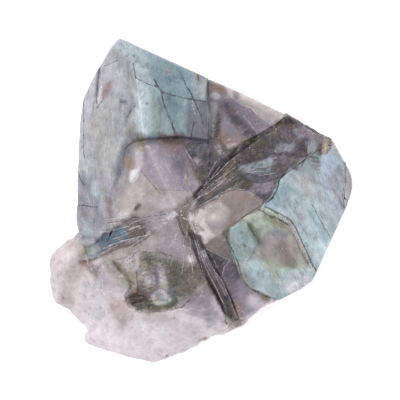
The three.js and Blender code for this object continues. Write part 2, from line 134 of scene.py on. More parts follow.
# ---- colours ----------------------------------------------------------------------------
PALETTE = {
    "white": "#ebe6ea", "frost": "#cfc9cf", "milk": "#e6dce2",
    "pink_milk": "#dccfd3", "pink_white": "#c9bec3", "cream": "#b3aba8",
    "dusk": "#a59c9f", "lilac": "#9d94a1", "mauve": "#958d98",
    "deep_mauve": "#787180", "rose_mauve": "#8f7f8a", "clay": "#957c74",
    "smoky_pink": "#978a8a", "rosy_grey": "#a39694", "smoky": "#80736f",
    "brown": "#6a5b56", "umber": "#453a39", "rust": "#8f6a58",
    "ochre": "#a08b68", "straw": "#b9ad90", "nest_grey": "#7f7d72",
    "olive": "#7b7662", "deep_olive": "#4d4b3d", "mica": "#4d4a50",
    "mica_green": "#656863", "cocoa": "#5e5252", "plum": "#4c4048",
    "night": "#353137", "grey_beryl": "#adaeb2", "warm_beryl": "#abaaaa",
    "lavender": "#b9b8c1", "blue_grey": "#969ca5", "slate": "#6f717b",
    "mint": "#bcc9cf", "ice": "#b9c8d8", "pale_ice": "#cfe0e6",
    "frost_teal": "#b3c2c8", "pale_teal": "#a3b2b9", "teal": "#86999f",
    "blue_teal": "#8fa5b0", "deep_teal": "#66808d", "green_teal": "#96a8a6",
    "pale_green": "#aeb6aa", "dark_teal": "#56687a", "moss": "#6a7364",
}
SHEEN = 0.03  # white light that the polish gives back on top of the stone's own colour


def linear(code):
    """A #rrggbb colour as the light it gives back."""
    parts = [int(code[i : i + 2], 16) / 255 for i in (1, 3, 5)]
    return [part / 12.92 if part < 0.04045 else ((part + 0.055) / 1.055) ** 2.4 for part in parts]


COLOURS = {name: np.maximum(np.array(linear(code)) - SHEEN, 0) for name, code in PALETTE.items()}


# ---- steady noise -----------------------------------------------------------------------
# Large odd numbers that scatter neighbouring cells, and the 32 and 16 bits that are kept.
CELL_FACTORS = (374761393, 668265263, 1440670441)
MIX_FACTOR = 1274126177
LOW_32 = 0xFFFFFFFF
LOW_16 = 0xFFFF


def scattered(cells, seed):
    """A steady number between -1 and 1 for each whole-numbered cell."""
    mixed = (cells @ CELL_FACTORS + seed * MIX_FACTOR) & LOW_32
    mixed = ((mixed ^ (mixed >> 13)) * MIX_FACTOR) & LOW_32
    mixed = mixed ^ (mixed >> 16)
    return (mixed & LOW_16) / (LOW_16 / 2) - 1


def waves(places, pitch, seed=0):
    """Smooth unevenness between -1 and 1, with a wave about every `pitch` millimetres."""
    scaled = places / pitch
    cells = np.floor(scaled).astype(np.int64)
    part = scaled - cells
    ease = part * part * (3 - 2 * part)
    total = np.zeros(len(places))
    for corner in itertools.product((0, 1), repeat=3):
        share = np.prod(np.where(corner, ease, 1 - ease), axis=1)
        total += share * scattered(cells + corner, SEED + seed)
    return total


def layered_waves(places, pitch, layers, seed=0):
    """Waves with finer ones on top, each layer half the size and half the height."""
    levels = range(layers)
    heights = sum(waves(places, pitch / 2**k, seed + 7 * k) / 2**k for k in levels)
    return heights / sum(0.5**k for k in levels)


def smooth_step(values, low, high):
    share = np.clip((values - low) / (high - low), 0, 1)
    return share * share * (3 - 2 * share)


# ---- patches, bands and lines -----------------------------------------------------------
# The places along outlines and paths are written in tenths of a millimetre.
TENTHS = 10
Mark = namedtuple("Mark", "colour path half closed soft strength ragged")


def in_mm(path):
    return [(x / TENTHS, y / TENTHS) for x, y in path]


def patch(colour, outline, soft=0.8, strength=0.8, ragged=0.3):
    """A stained area with a closed outline, seen from above."""
    return Mark(colour, in_mm([*outline, outline[0]]), 0, True, soft, strength, ragged)


def band(colour, half, path, soft=0.6, strength=0.6, ragged=0.4):
    """A streak along a path, `half` wide to each side before it fades; one point is a spot."""
    ends = path if len(path) > 1 else path * 2
    return Mark(colour, in_mm(ends), half, False, soft, strength, ragged)


def lines(*paths):
    """Thin lines, each as its half width and its path."""
    return [(half, in_mm(path)) for half, path in paths]


def to_path(places, path):
    """The way from each place to the nearest point of a path, both seen from above."""
    nearest = np.full(len(places), np.inf)
    way = np.full((len(places), 2), FAR)
    for start, end in zip(path, path[1:]):
        start = np.array(start)
        run = np.array(end) - start
        share = np.clip((places - start) @ run / max(run @ run, 1e-9), 0, 1)
        to_spot = start + share[:, None] * run - places
        distance = np.hypot(to_spot[:, 0], to_spot[:, 1])
        closer = distance < nearest
        nearest[closer] = distance[closer]
        way[closer] = to_spot[closer]
    return nearest, way


def inside(places, outline):
    """Whether each place lies inside a closed outline."""
    x, y = places.T
    result = np.zeros(len(places), bool)
    for (ax, ay), (bx, by) in zip(outline, outline[1:]):
        if ay == by:
            continue
        crosses = ((ay > y) != (by > y)) & (x < ax + (y - ay) * (bx - ax) / (by - ay))
        result ^= crosses
    return result


def near_box(places, path, reach):
    """The places in the box round a path, as index numbers."""
    corners = np.array(path)
    low, high = corners.min(axis=0) - reach, corners.max(axis=0) + reach
    return np.nonzero(np.all((places > low) & (places < high), axis=1))[0]


def cover(places, warp, mark):
    """How strongly a mark covers each place, as the places' numbers and their shares."""
    reach = mark.half + mark.soft + 2 * mark.ragged
    near = near_box(places, mark.path, reach)
    spots = places[near] + warp[near] * mark.ragged
    distance, _ = to_path(spots, mark.path)
    if mark.closed:
        distance = np.where(inside(spots, mark.path), -distance, distance)
    share = 1 - smooth_step(distance - mark.half, -0.4 * mark.soft, mark.soft)
    return near, share * mark.strength


def ragged_warp(places, seed):
    """Sideways wander that makes the rims of stains uneven."""
    return np.stack([layered_waves(places, 1.6, 3, seed + k) for k in (31, 57)], axis=1)


def splinters(heart, ways, reach, half, count, seed):
    """Fine straight lines that fan out from one spot, each a stretch of a ray."""
    chance = np.random.default_rng(seed)
    rays = []
    for way in np.radians(chance.uniform(*ways, count)):
        start = chance.uniform(*reach)
        end = min(reach[1], start + chance.uniform(1, 5))
        ray = (math.cos(way), math.sin(way))
        rays.append((half, [(heart[0] + r * ray[0], heart[1] + r * ray[1]) for r in (start, end)]))
    return rays


# ---- the large emerald's markings --------------------------------------------------------
# Its teal front face, its polished end, the stains on its grey prism face and a painted highlight along the
# edge between the two faces.
LARGE_EMERALD_MARKS = [
    patch("grey_beryl", [(-165, 305), (-127, 286), (-123, 225), (-112, 221), (-129, 123), (-167, -75),
        (-236, -75), (-236, 172), (-194, 252)], 0.7, 1, 0.35),
    patch("lavender", [(-196, 244), (-156, 267), (-148, 237), (-179, 221), (-194, 172), (-217, 153),
        (-220, 183)], 0.9, 0.7, 0.25),
    band("lavender", 0.9, [(-213, 183), (-222, 134), (-224, 54)], 0.7, 0.6, 0.15),
    band("warm_beryl", 2.2, [(-179, 157), (-186, 96)], 1.6, 0.8, 0.15),
    band("warm_beryl", 1.2, [(-156, 96), (-190, 54)], 1.2, 0.5, 0.15),
    patch("frost_teal", [(-154, 305), (-84, 275), (-87, 221), (-112, 221), (-123, 229),
        (-127, 263)], 1.2, 0.8, 0.5),
    band("mint", 0.9, [(-148, 294), (-125, 278), (-114, 259)], 1.2, 0.6, 0.5),
    band("green_teal", 0.5, [(-123, 271), (-103, 256), (-91, 256)], 0.6, 0.5, 0.15),
    patch("blue_teal", [(-95, 275), (15, 229), (13, 187), (-34, 195), (-74, 204), (-87, 225),
        (-93, 244)], 0.8, 0.95, 0.25),
    patch("teal", [(-80, 267), (-46, 252), (-38, 199), (-67, 202), (-84, 225), (-87, 252)], 0.9, 0.8, 0.25),
    band("teal", 1, [(-30, 229), (-27, 202)], 1.2),
    band("deep_teal", 0.7, [(-57, 229)], 1.3, 0.85),
    band("deep_teal", 0.3, [(-38, 248), (-30, 235)], 0.8, 0.5, 0.15),
    band("grey_beryl", 0.9, [(-2, 229), (4, 197)], 0.8, 0.7, 0.15),
    band("pale_teal", 0.6, [(-23, 237), (-8, 218)], 0.7, 0.5, 0.15),
    patch("pale_teal", [(-120, 221), (-86, 221), (-70, 199), (-46, 195), (-19, 191), (-17, 121),
        (-108, 119), (-129, 123)], 0.4, 0.9, 0.25),
    patch("teal", [(-97, 214), (-70, 199), (-19, 191), (-17, 121), (-97, 119)], 0.6, 0.8, 0.25),
    band("green_teal", 1, [(-91, 191), (-80, 130)], 1, 0.6, 0.15),
    band("teal", 0.5, [(-95, 168), (-93, 126)], 0.8, 0.7, 0.15),
    patch("teal", [(-65, 202), (-19, 191), (-21, 123), (-42, 119), (-55, 161)], 0.8, 0.8, 0.25),
    band("dark_teal", 0.5, [(-59, 195), (-46, 172)], 0.9, 0.6, 0.15),
    band("dark_teal", 0.25, [(-76, 191), (-72, 168)], 0.6, 0.45, 0.15),
    band("pale_teal", 0.5, [(-48, 168), (-38, 142)], 0.7, 0.6, 0.15),
    band("teal", 0.6, [(-34, 168), (-27, 130)], 0.7, 0.5, 0.15),
    band("deep_teal", 0.6, [(-57, 180), (-46, 145), (-42, 126)], 1, 0.5),
    patch("slate", [(-19, 191), (15, 185), (19, 96), (-8, 96), (-23, 119), (-23, 149)], 0.8, 0.95, 0.4),
    band("grey_beryl", 0.5, [(25, 183), (23, 157), (21, 126)], 0.6, 0.7),
    band("deep_teal", 0.8, [(-15, 176), (-13, 134)], 1, 0.5),
    band("blue_grey", 0.5, [(-11, 187), (-4, 168)], 0.8, 0.5),
    band("deep_mauve", 1.1, [(-8, 161), (6, 119)], 1),
    # A pale mint band along the convex edge between the grey prism face and the teal front face: a painted
    # highlight.
    band("mint", 1.3, [(-110, 206), (-106, 172), (-108, 134)], 1, 0.85, 0.5),
    band("lavender", 0.4, [(-125, 172), (-125, 142)], 0.9, 0.5),
    band("dark_teal", 0.3, [(-106, 123), (-91, 117), (-76, 119)], 0.9, 0.5, 0.5),
    band("cocoa", 0.5, [(-72, 121), (-53, 117), (-36, 119)], 0.9, 0.85, 0.35),
    band("slate", 0.4, [(-32, 117), (-8, 113)], 0.8, 0.6, 0.15),
    band("olive", 1, [(-129, 130), (-120, 121), (-112, 109)], 1.2, 0.7, 0.6),
    band("brown", 0.4, [(-133, 111), (-141, 85)], 1, 0.5, 0.6),
    band("lavender", 0.6, [(-175, 248), (-160, 221), (-156, 191)], 1.2, 0.6, 0.6),
    band("slate", 0.35, [(-137, 256), (-133, 237), (-125, 218)], 1, 0.5, 0.6),
    band("slate", 0.3, [(-163, 206), (-150, 195), (-152, 172)], 1.1, 0.4, 0.6),
    band("blue_grey", 0.5, [(-139, 214), (-133, 191), (-141, 168)], 1.2, 0.5, 0.6),
    band("slate", 0.3, [(-190, 115), (-196, 77), (-192, 47)], 1.2, 0.35, 0.6),
    band("cream", 0.6, [(-205, 153), (-198, 107)], 1.4, 0.4, 0.6),
    band("lavender", 0.5, [(-175, 47), (-182, 9), (-190, -22)], 1.2, 0.5, 0.6),
    band("deep_olive", 0.35, [(-120, 123), (-112, 115)], 0.6, 0.75, 0.3),
    band("slate", 0.7, [(-131, 119), (-144, 81), (-156, 54)], 1, 0.75, 0.15),
    band("slate", 0.4, [(-139, 104), (-150, 66), (-167, 9)], 0.7, 0.6, 0.15),
    patch("blue_grey", [(-236, 47), (-194, 47), (-167, 9), (-171, -41), (-188, -75), (-220, -75),
        (-236, -48)], 0.9, 0.75, 0.25),
    band("lilac", 0.9, [(-190, 35), (-167, 24)], 1, 0.65, 0.15),
    band("slate", 0.5, [(-213, 31), (-205, 9)], 1, 0.55, 0.5),
    band("slate", 0.25, [(-224, 54), (-219, 31), (-228, 5)], 0.5, 0.5),
    band("mint", 0.5, [(-199, 31), (-198, 16)], 0.5, 0.5, 0.3),
    band("mint", 0.8, [(-215, -56), (-194, -60)], 0.9),
    band("pale_teal", 0.5, [(-217, -26), (-209, -41)], 0.8, 0.5),
    band("slate", 0.2, [(-203, -33), (-200, -48)], 0.4, 0.7, 0.3),
    band("lilac", 1, [(-220, 9), (-209, -26), (-194, -48)], 1.4, 0.6, 0.5),
    band("slate", 0.4, [(-228, 1), (-220, -22)], 1),
    band("slate", 0.3, [(-198, -3), (-188, -41)], 0.9, 0.5),
    patch("clay", [(-181, 219), (-167, 225), (-171, 208), (-181, 193), (-186, 197)], 0.5, 0.75, 0.4),
    band("pink_milk", 0.2, [(-188, 214), (-192, 183)], 0.5, 0.6, 0.15),
    band("slate", 0.25, [(-191, 250), (-193, 229), (-196, 200)], 0.4, 0.8, 0.15),
    band("slate", 0.35, [(-125, 180), (-137, 161), (-141, 145)], 0.8, 0.65),
    band("slate", 0.3, [(-148, 188), (-139, 186)], 0.4, 0.85, 0.2),
    band("slate", 0.5, [(-160, 275), (-152, 256)], 1, 0.35),
    band("slate", 0.4, [(-175, 149), (-171, 123)], 1, 0.3),
    band("slate", 0.4, [(-156, 153), (-154, 126)], 1, 0.3),
    band("clay", 0.4, [(-173, 1), (-171, -39)], 0.7, 0.7, 0.3),
    band("ochre", 0.25, [(-136, 77), (-136, 62)], 0.5, 0.8, 0.2),
    band("olive", 0.3, [(-182, 20), (-177, 1)], 0.7, 0.5, 0.3),
    band("night", 0.1, [(-99, 183)], 0.4, 0.8, 0.15),
    band("slate", 0.12, [(-125, 272)], 0.3, 0.8, 0.15),
    band("slate", 0.12, [(-139, 273)], 0.3, 0.7, 0.15),
    band("olive", 0.3, [(-4, 237), (-3, 225)], 0.5, 0.6, 0.2),
]

LARGE_EMERALD_CRACKS = lines(
    (0.17, [(-86, 227), (-80, 216), (-73, 204), (-67, 178), (-58, 159), (-51, 138), (-44, 119)]),
    (0.09, [(-106, 225), (-95, 218), (-86, 216), (-73, 205), (-57, 200), (-29, 193), (-16, 191),
        (11, 186)]),
    (0.1, [(-33, 233), (-27, 218), (-18, 204), (-8, 182), (1, 162), (8, 138)]),
    (0.2, [(13, 231), (13, 210), (12, 189)]),
    (0.14, [(12, 189), (18, 167), (16, 128), (15, 102)]),
    (0.1, [(-126, 259), (-123, 242), (-121, 231), (-112, 226)]),
    (0.12, [(-191, 252), (-193, 229), (-196, 200), (-195, 183)]),
    (0.07, [(-195, 176), (-188, 185), (-181, 195)]),
    (0.06, [(-182, 254), (-167, 260), (-154, 265)]),
    (0.07, [(-220, 191), (-221, 138), (-220, 81)]),
    (0.1, [(-234, -10), (-220, -9), (-207, -12), (-194, -12)]),
    (0.1, [(-12, 149), (-15, 132), (-18, 117)]),
    (0.1, [(-149, 187), (-144, 185), (-139, 188)]),
    (0.08, [(-123, 180), (-131, 168), (-138, 157)]),
    (0.08, [(-232, 58), (-227, 39), (-219, 28)]),
    (0.07, [(-201, -33), (-200, -48)]),
    (0.1, [(-4, 238), (-3, 227)]),
    (0.07, [(19, 96), (18, 77), (15, 54)]),
)

LARGE_EMERALD_GLINTS = lines(
    (0.05, [(-14, 189), (-13, 176), (-10, 164)]),
    (0.07, [(-189, 214), (-190, 199), (-192, 185)]),
    (0.07, [(-199, 35), (-198, 16)]),
    (0.06, [(-213, 9), (-209, -5)]),
)

# ---- the six-sided emerald's markings ----------------------------------------------------
HEXAGON_MARKS = [
    patch("blue_grey", [(201, 111), (230, 115), (226, 92), (205, 90)], 0.4, 0.85, 0.2),
    patch("pale_teal", [(192, 77), (224, 88), (232, 47), (198, 31), (186, 54)], 0.5),
    patch("teal", [(158, 31), (175, 47), (194, 54), (194, 28), (171, 12)], 0.5, 0.7),
    band("green_teal", 0.4, [(190, 66), (205, 69)], 0.6, 0.5, 0.3),
    patch("frost_teal", [(118, -14), (137, 7), (150, 39), (171, 58), (201, 47), (224, 1), (247, -71),
        (220, -136), (182, -60), (167, -37)], 0.6, 1, 0.25),
    patch("blue_teal", [(129, -10), (139, 5), (148, 26), (160, 31), (175, 20), (160, -10)], 0.7, 0.7, 0.25),
    patch("ice", [(239, 100), (276, 54), (276, -14), (249, -75), (232, 20), (220, 62)], 1, 0.95, 0.25),
    band("lavender", 0.8, [(262, 47), (270, 1), (258, -45)], 1.2, 0.7, 0.5),
    patch("pale_ice", [(220, -10), (247, -26), (262, -48), (232, -124), (209, -83)], 1.4, 0.95, 0.5),
    band("mauve", 0.16, [(243, 43), (255, 20), (272, -14)], 0.5, 0.7, 0.15),
    band("ice", 0.7, [(182, 45), (198, 35), (213, 22)], 0.8, 0.75, 0.5),
    band("milk", 0.4, [(188, 39), (205, 24)], 0.8, 0.5, 0.5),
    patch("lavender", [(251, 77), (272, 39), (268, 9), (253, 28)], 1, 0.35, 0.25),
    band("mint", 0.8, [(186, 35), (201, 20), (217, -7)], 1, 0.7, 0.5),
    band("cream", 0.6, [(198, 43), (205, 16)], 0.9, 0.55, 0.5),
    band("mint", 0.7, [(224, 20), (232, -26)], 0.9),
    band("mint", 0.6, [(247, 9), (262, -29)], 0.8, 0.55),
    band("lavender", 0.6, [(190, -22), (201, -45)], 1),
    band("pale_ice", 1.5, [(205, -52), (224, -94)], 1.4),
    band("frost_teal", 0.6, [(213, -67), (224, -105)], 1, 0.5),
    band("teal", 0.4, [(194, -41), (209, -79)], 0.8, 0.35),
    band("blue_teal", 0.8, [(215, -26), (239, -71)], 0.9, 0.55),
    band("blue_grey", 0.6, [(239, -26), (258, -60)], 0.9),
    band("slate", 0.3, [(255, 43), (266, 20)], 0.9, 0.4),
    band("slate", 0.3, [(262, 62), (274, 35)], 0.8, 0.5, 0.3),
    band("brown", 0.35, [(230, 115), (230, 90)], 0.4, 0.8),
    patch("straw", [(234, 118), (247, 113), (247, 98), (238, 88), (232, 94)], 0.3, 0.85, 0.25),
    band("ochre", 0.15, [(236, 111), (235, 94)], 0.4, 0.7, 0.3),
    band("ochre", 0.12, [(243, 109), (241, 96)], 0.4, 0.5, 0.3),
    band("milk", 0.12, [(239, 111), (238, 102)], 0.3, 0.6, 0.3),
    band("brown", 0.2, [(232, 122), (247, 117)], 0.4),
    band("umber", 0.12, [(230, 113), (229, 92)], 0.3, 0.8, 0.3),
    band("umber", 0.1, [(248, 111), (247, 98), (238, 88)], 0.3, 0.6, 0.3),
    band("green_teal", 0.7, [(217, 85), (222, 58)], 0.8, 0.7),
    band("deep_olive", 0.12, [(211, 83), (222, 79)], 0.3, 0.7, 0.3),
    band("deep_olive", 0.12, [(211, 75), (226, 73)], 0.3, 0.7, 0.3),
    band("olive", 0.12, [(213, 67), (228, 67)], 0.3, 0.7, 0.3),
    band("olive", 0.12, [(215, 61), (226, 60)], 0.3, 0.6, 0.3),
    band("cocoa", 0.25, [(226, 115), (226, 88)], 0.5, 0.7),
    band("rose_mauve", 0.5, [(190, 128), (224, 119), (247, 111)], 0.5, 0.6, 0.2),
    band("olive", 0.3, [(171, 47), (182, 39)], 0.5, 0.4, 0.3),
    # the six-sided end
    patch("pale_green", [(89, -33), (123, -14), (167, -37), (220, -136), (198, -159), (133, -187),
        (80, -151), (53, -71)], 0.4, 1, 0.1),
    patch("green_teal", [(57, -52), (87, -39), (112, -79), (103, -94), (76, -117), (65, -117),
        (53, -86)], 0.5, 0.9, 0.15),
    band("blue_teal", 0.5, [(68, -52), (84, -79)], 0.8, 0.5),
    band("teal", 0.4, [(59, -79), (68, -105)], 0.8, 0.5),
    band("moss", 0.5, [(95, -50), (106, -67), (114, -79)], 0.55, 0.9, 0.15),
    band("moss", 0.6, [(99, -48), (110, -56)], 0.8, 0.6, 0.2),
    band("pale_green", 0.6, [(106, -43), (125, -48), (146, -54)], 0.5, 0.9, 0.2),
    band("olive", 0.5, [(125, -31), (144, -41), (158, -48)], 0.6, 0.7, 0.3),
    patch("mauve", [(118, -67), (137, -58), (163, -67), (167, -86), (144, -98), (118, -94)], 1, 0.75, 0.5),
    band("slate", 0.4, [(144, -58), (165, -64)], 0.7, 0.5),
    patch("smoky", [(144, -86), (175, -83), (184, -102), (175, -121), (152, -109)], 0.9, 0.8, 0.5),
    band("olive", 0.6, [(160, -117), (175, -121)], 0.8, 0.7),
    band("cream", 0.7, [(171, -85), (181, -100)], 0.6, 0.7, 0.3),
    band("cream", 0.45, [(163, -41), (179, -67), (198, -105), (211, -132)], 0.4, 0.7, 0.15),
    band("smoky", 0.15, [(133, -31), (160, -43), (173, -62), (190, -96), (207, -128)], 0.4, 0.6, 0.15),
    band("olive", 0.7, [(110, -109)], 1, 0.5, 0.5),
    band("lilac", 0.5, [(99, -94), (118, -102)], 0.8, 0.5),
    band("slate", 0.4, [(78, -124), (91, -132)], 0.9, 0.45),
    band("frost_teal", 1.4, [(99, -124), (118, -155), (148, -174)], 1.2, 0.9),
    band("mint", 0.6, [(110, -136), (129, -162)], 1.2, 0.5, 0.5),
    band("blue_teal", 0.5, [(95, -132), (110, -159)], 0.9, 0.5),
    band("teal", 0.7, [(122, -143), (148, -178)], 0.9),
    band("slate", 0.45, [(84, -140), (99, -159)], 0.8),
    band("mint", 0.5, [(129, -140), (125, -159)], 0.7, 0.5),
    patch("mint", [(156, -136), (209, -124), (213, -147), (182, -170), (156, -178)], 1.2, 0.95, 0.4),
    band("milk", 0.6, [(171, -166), (205, -151)], 0.9, 0.6, 0.2),
    patch("smoky_pink", [(122, -71), (171, -75), (182, -105), (152, -124), (118, -105)], 1.2, 0.45, 0.6),
    band("cocoa", 0.15, [(78, -60)], 0.35, 0.8, 0.15),
    band("deep_olive", 0.18, [(82, -83), (85, -87)], 0.3, 0.7, 0.15),
    band("olive", 0.3, [(48, -62), (53, -71)], 0.5, 0.7, 0.15),
    band("rust", 0.25, [(122, -183), (129, -185)], 0.5, 0.7, 0.15),
]

HEXAGON_CRACKS = lines(
    (0.15, [(123, -12), (146, -23), (169, -35), (180, -50), (198, -88), (209, -113), (222, -137)]),
    (0.14, [(111, -17), (122, -23), (134, -31), (147, -33), (158, -41), (167, -46)]),
    (0.05, [(167, -46), (175, -60), (190, -94), (209, -128)]),
    (0.07, [(137, -26), (152, -36), (163, -41)]),
    (0.06, [(89, -41), (101, -62), (112, -78)]),
    (0.12, [(49, -66), (57, -86), (70, -113), (80, -147)]),
    (0.13, [(80, -147), (95, -166), (114, -176), (133, -184)]),
    (0.05, [(211, -7), (222, -26), (235, -50), (248, -72)]),
    (0.07, [(275, 71), (275, 39), (270, 9), (274, -14)]),
)

HEXAGON_GLINTS = lines(
    (0.05, [(125, -18), (146, -28), (167, -40)]),
    (0.04, [(173, -45), (192, -85), (215, -134)]),
    (0.06, [(198, 39), (205, 28)]),
)

# ---- the small emerald blade -------------------------------------------------------------
BLADE_MARKS = [
    patch("dark_teal", [(-201, -81), (-182, -62), (-148, -48), (-135, -56), (-137, -75), (-167, -86),
        (-198, -102)], 0.5, 0.95, 0.2),
    band("deep_teal", 0.4, [(-186, -86), (-163, -67), (-144, -58)], 0.5, 0.6, 0.3),
    band("night", 0.25, [(-190, -71), (-171, -58), (-148, -49)], 0.4, 0.55, 0.2),
    patch("blue_grey", [(-220, -83), (-199, -81), (-188, -90), (-194, -107), (-215, -109)], 0.6, 0.85),
    band("pale_green", 0.35, [(-213, -94), (-198, -98)], 0.5, 0.5, 0.3),
    patch("cocoa", [(-139, -41), (-122, -31), (-104, -56), (-114, -71), (-135, -71)], 0.5, 0.9),
    band("smoky", 0.4, [(-125, -48), (-110, -60)], 0.6, 0.5, 0.3),
    band("olive", 0.3, [(-220, -105), (-209, -90)], 0.6, 0.5, 0.3),
]

BLADE_CRACKS = lines(
    (0.1, [(-196, -100), (-175, -92), (-156, -81), (-137, -73), (-106, -66)]),
    (0.07, [(-182, -77), (-160, -66)]),
)

BLADE_GLINTS = lines(
    (0.09, [(-182, -90), (-167, -84), (-148, -77), (-125, -71), (-95, -64)]),
    (0.06, [(-133, -45), (-110, -35)]),
)

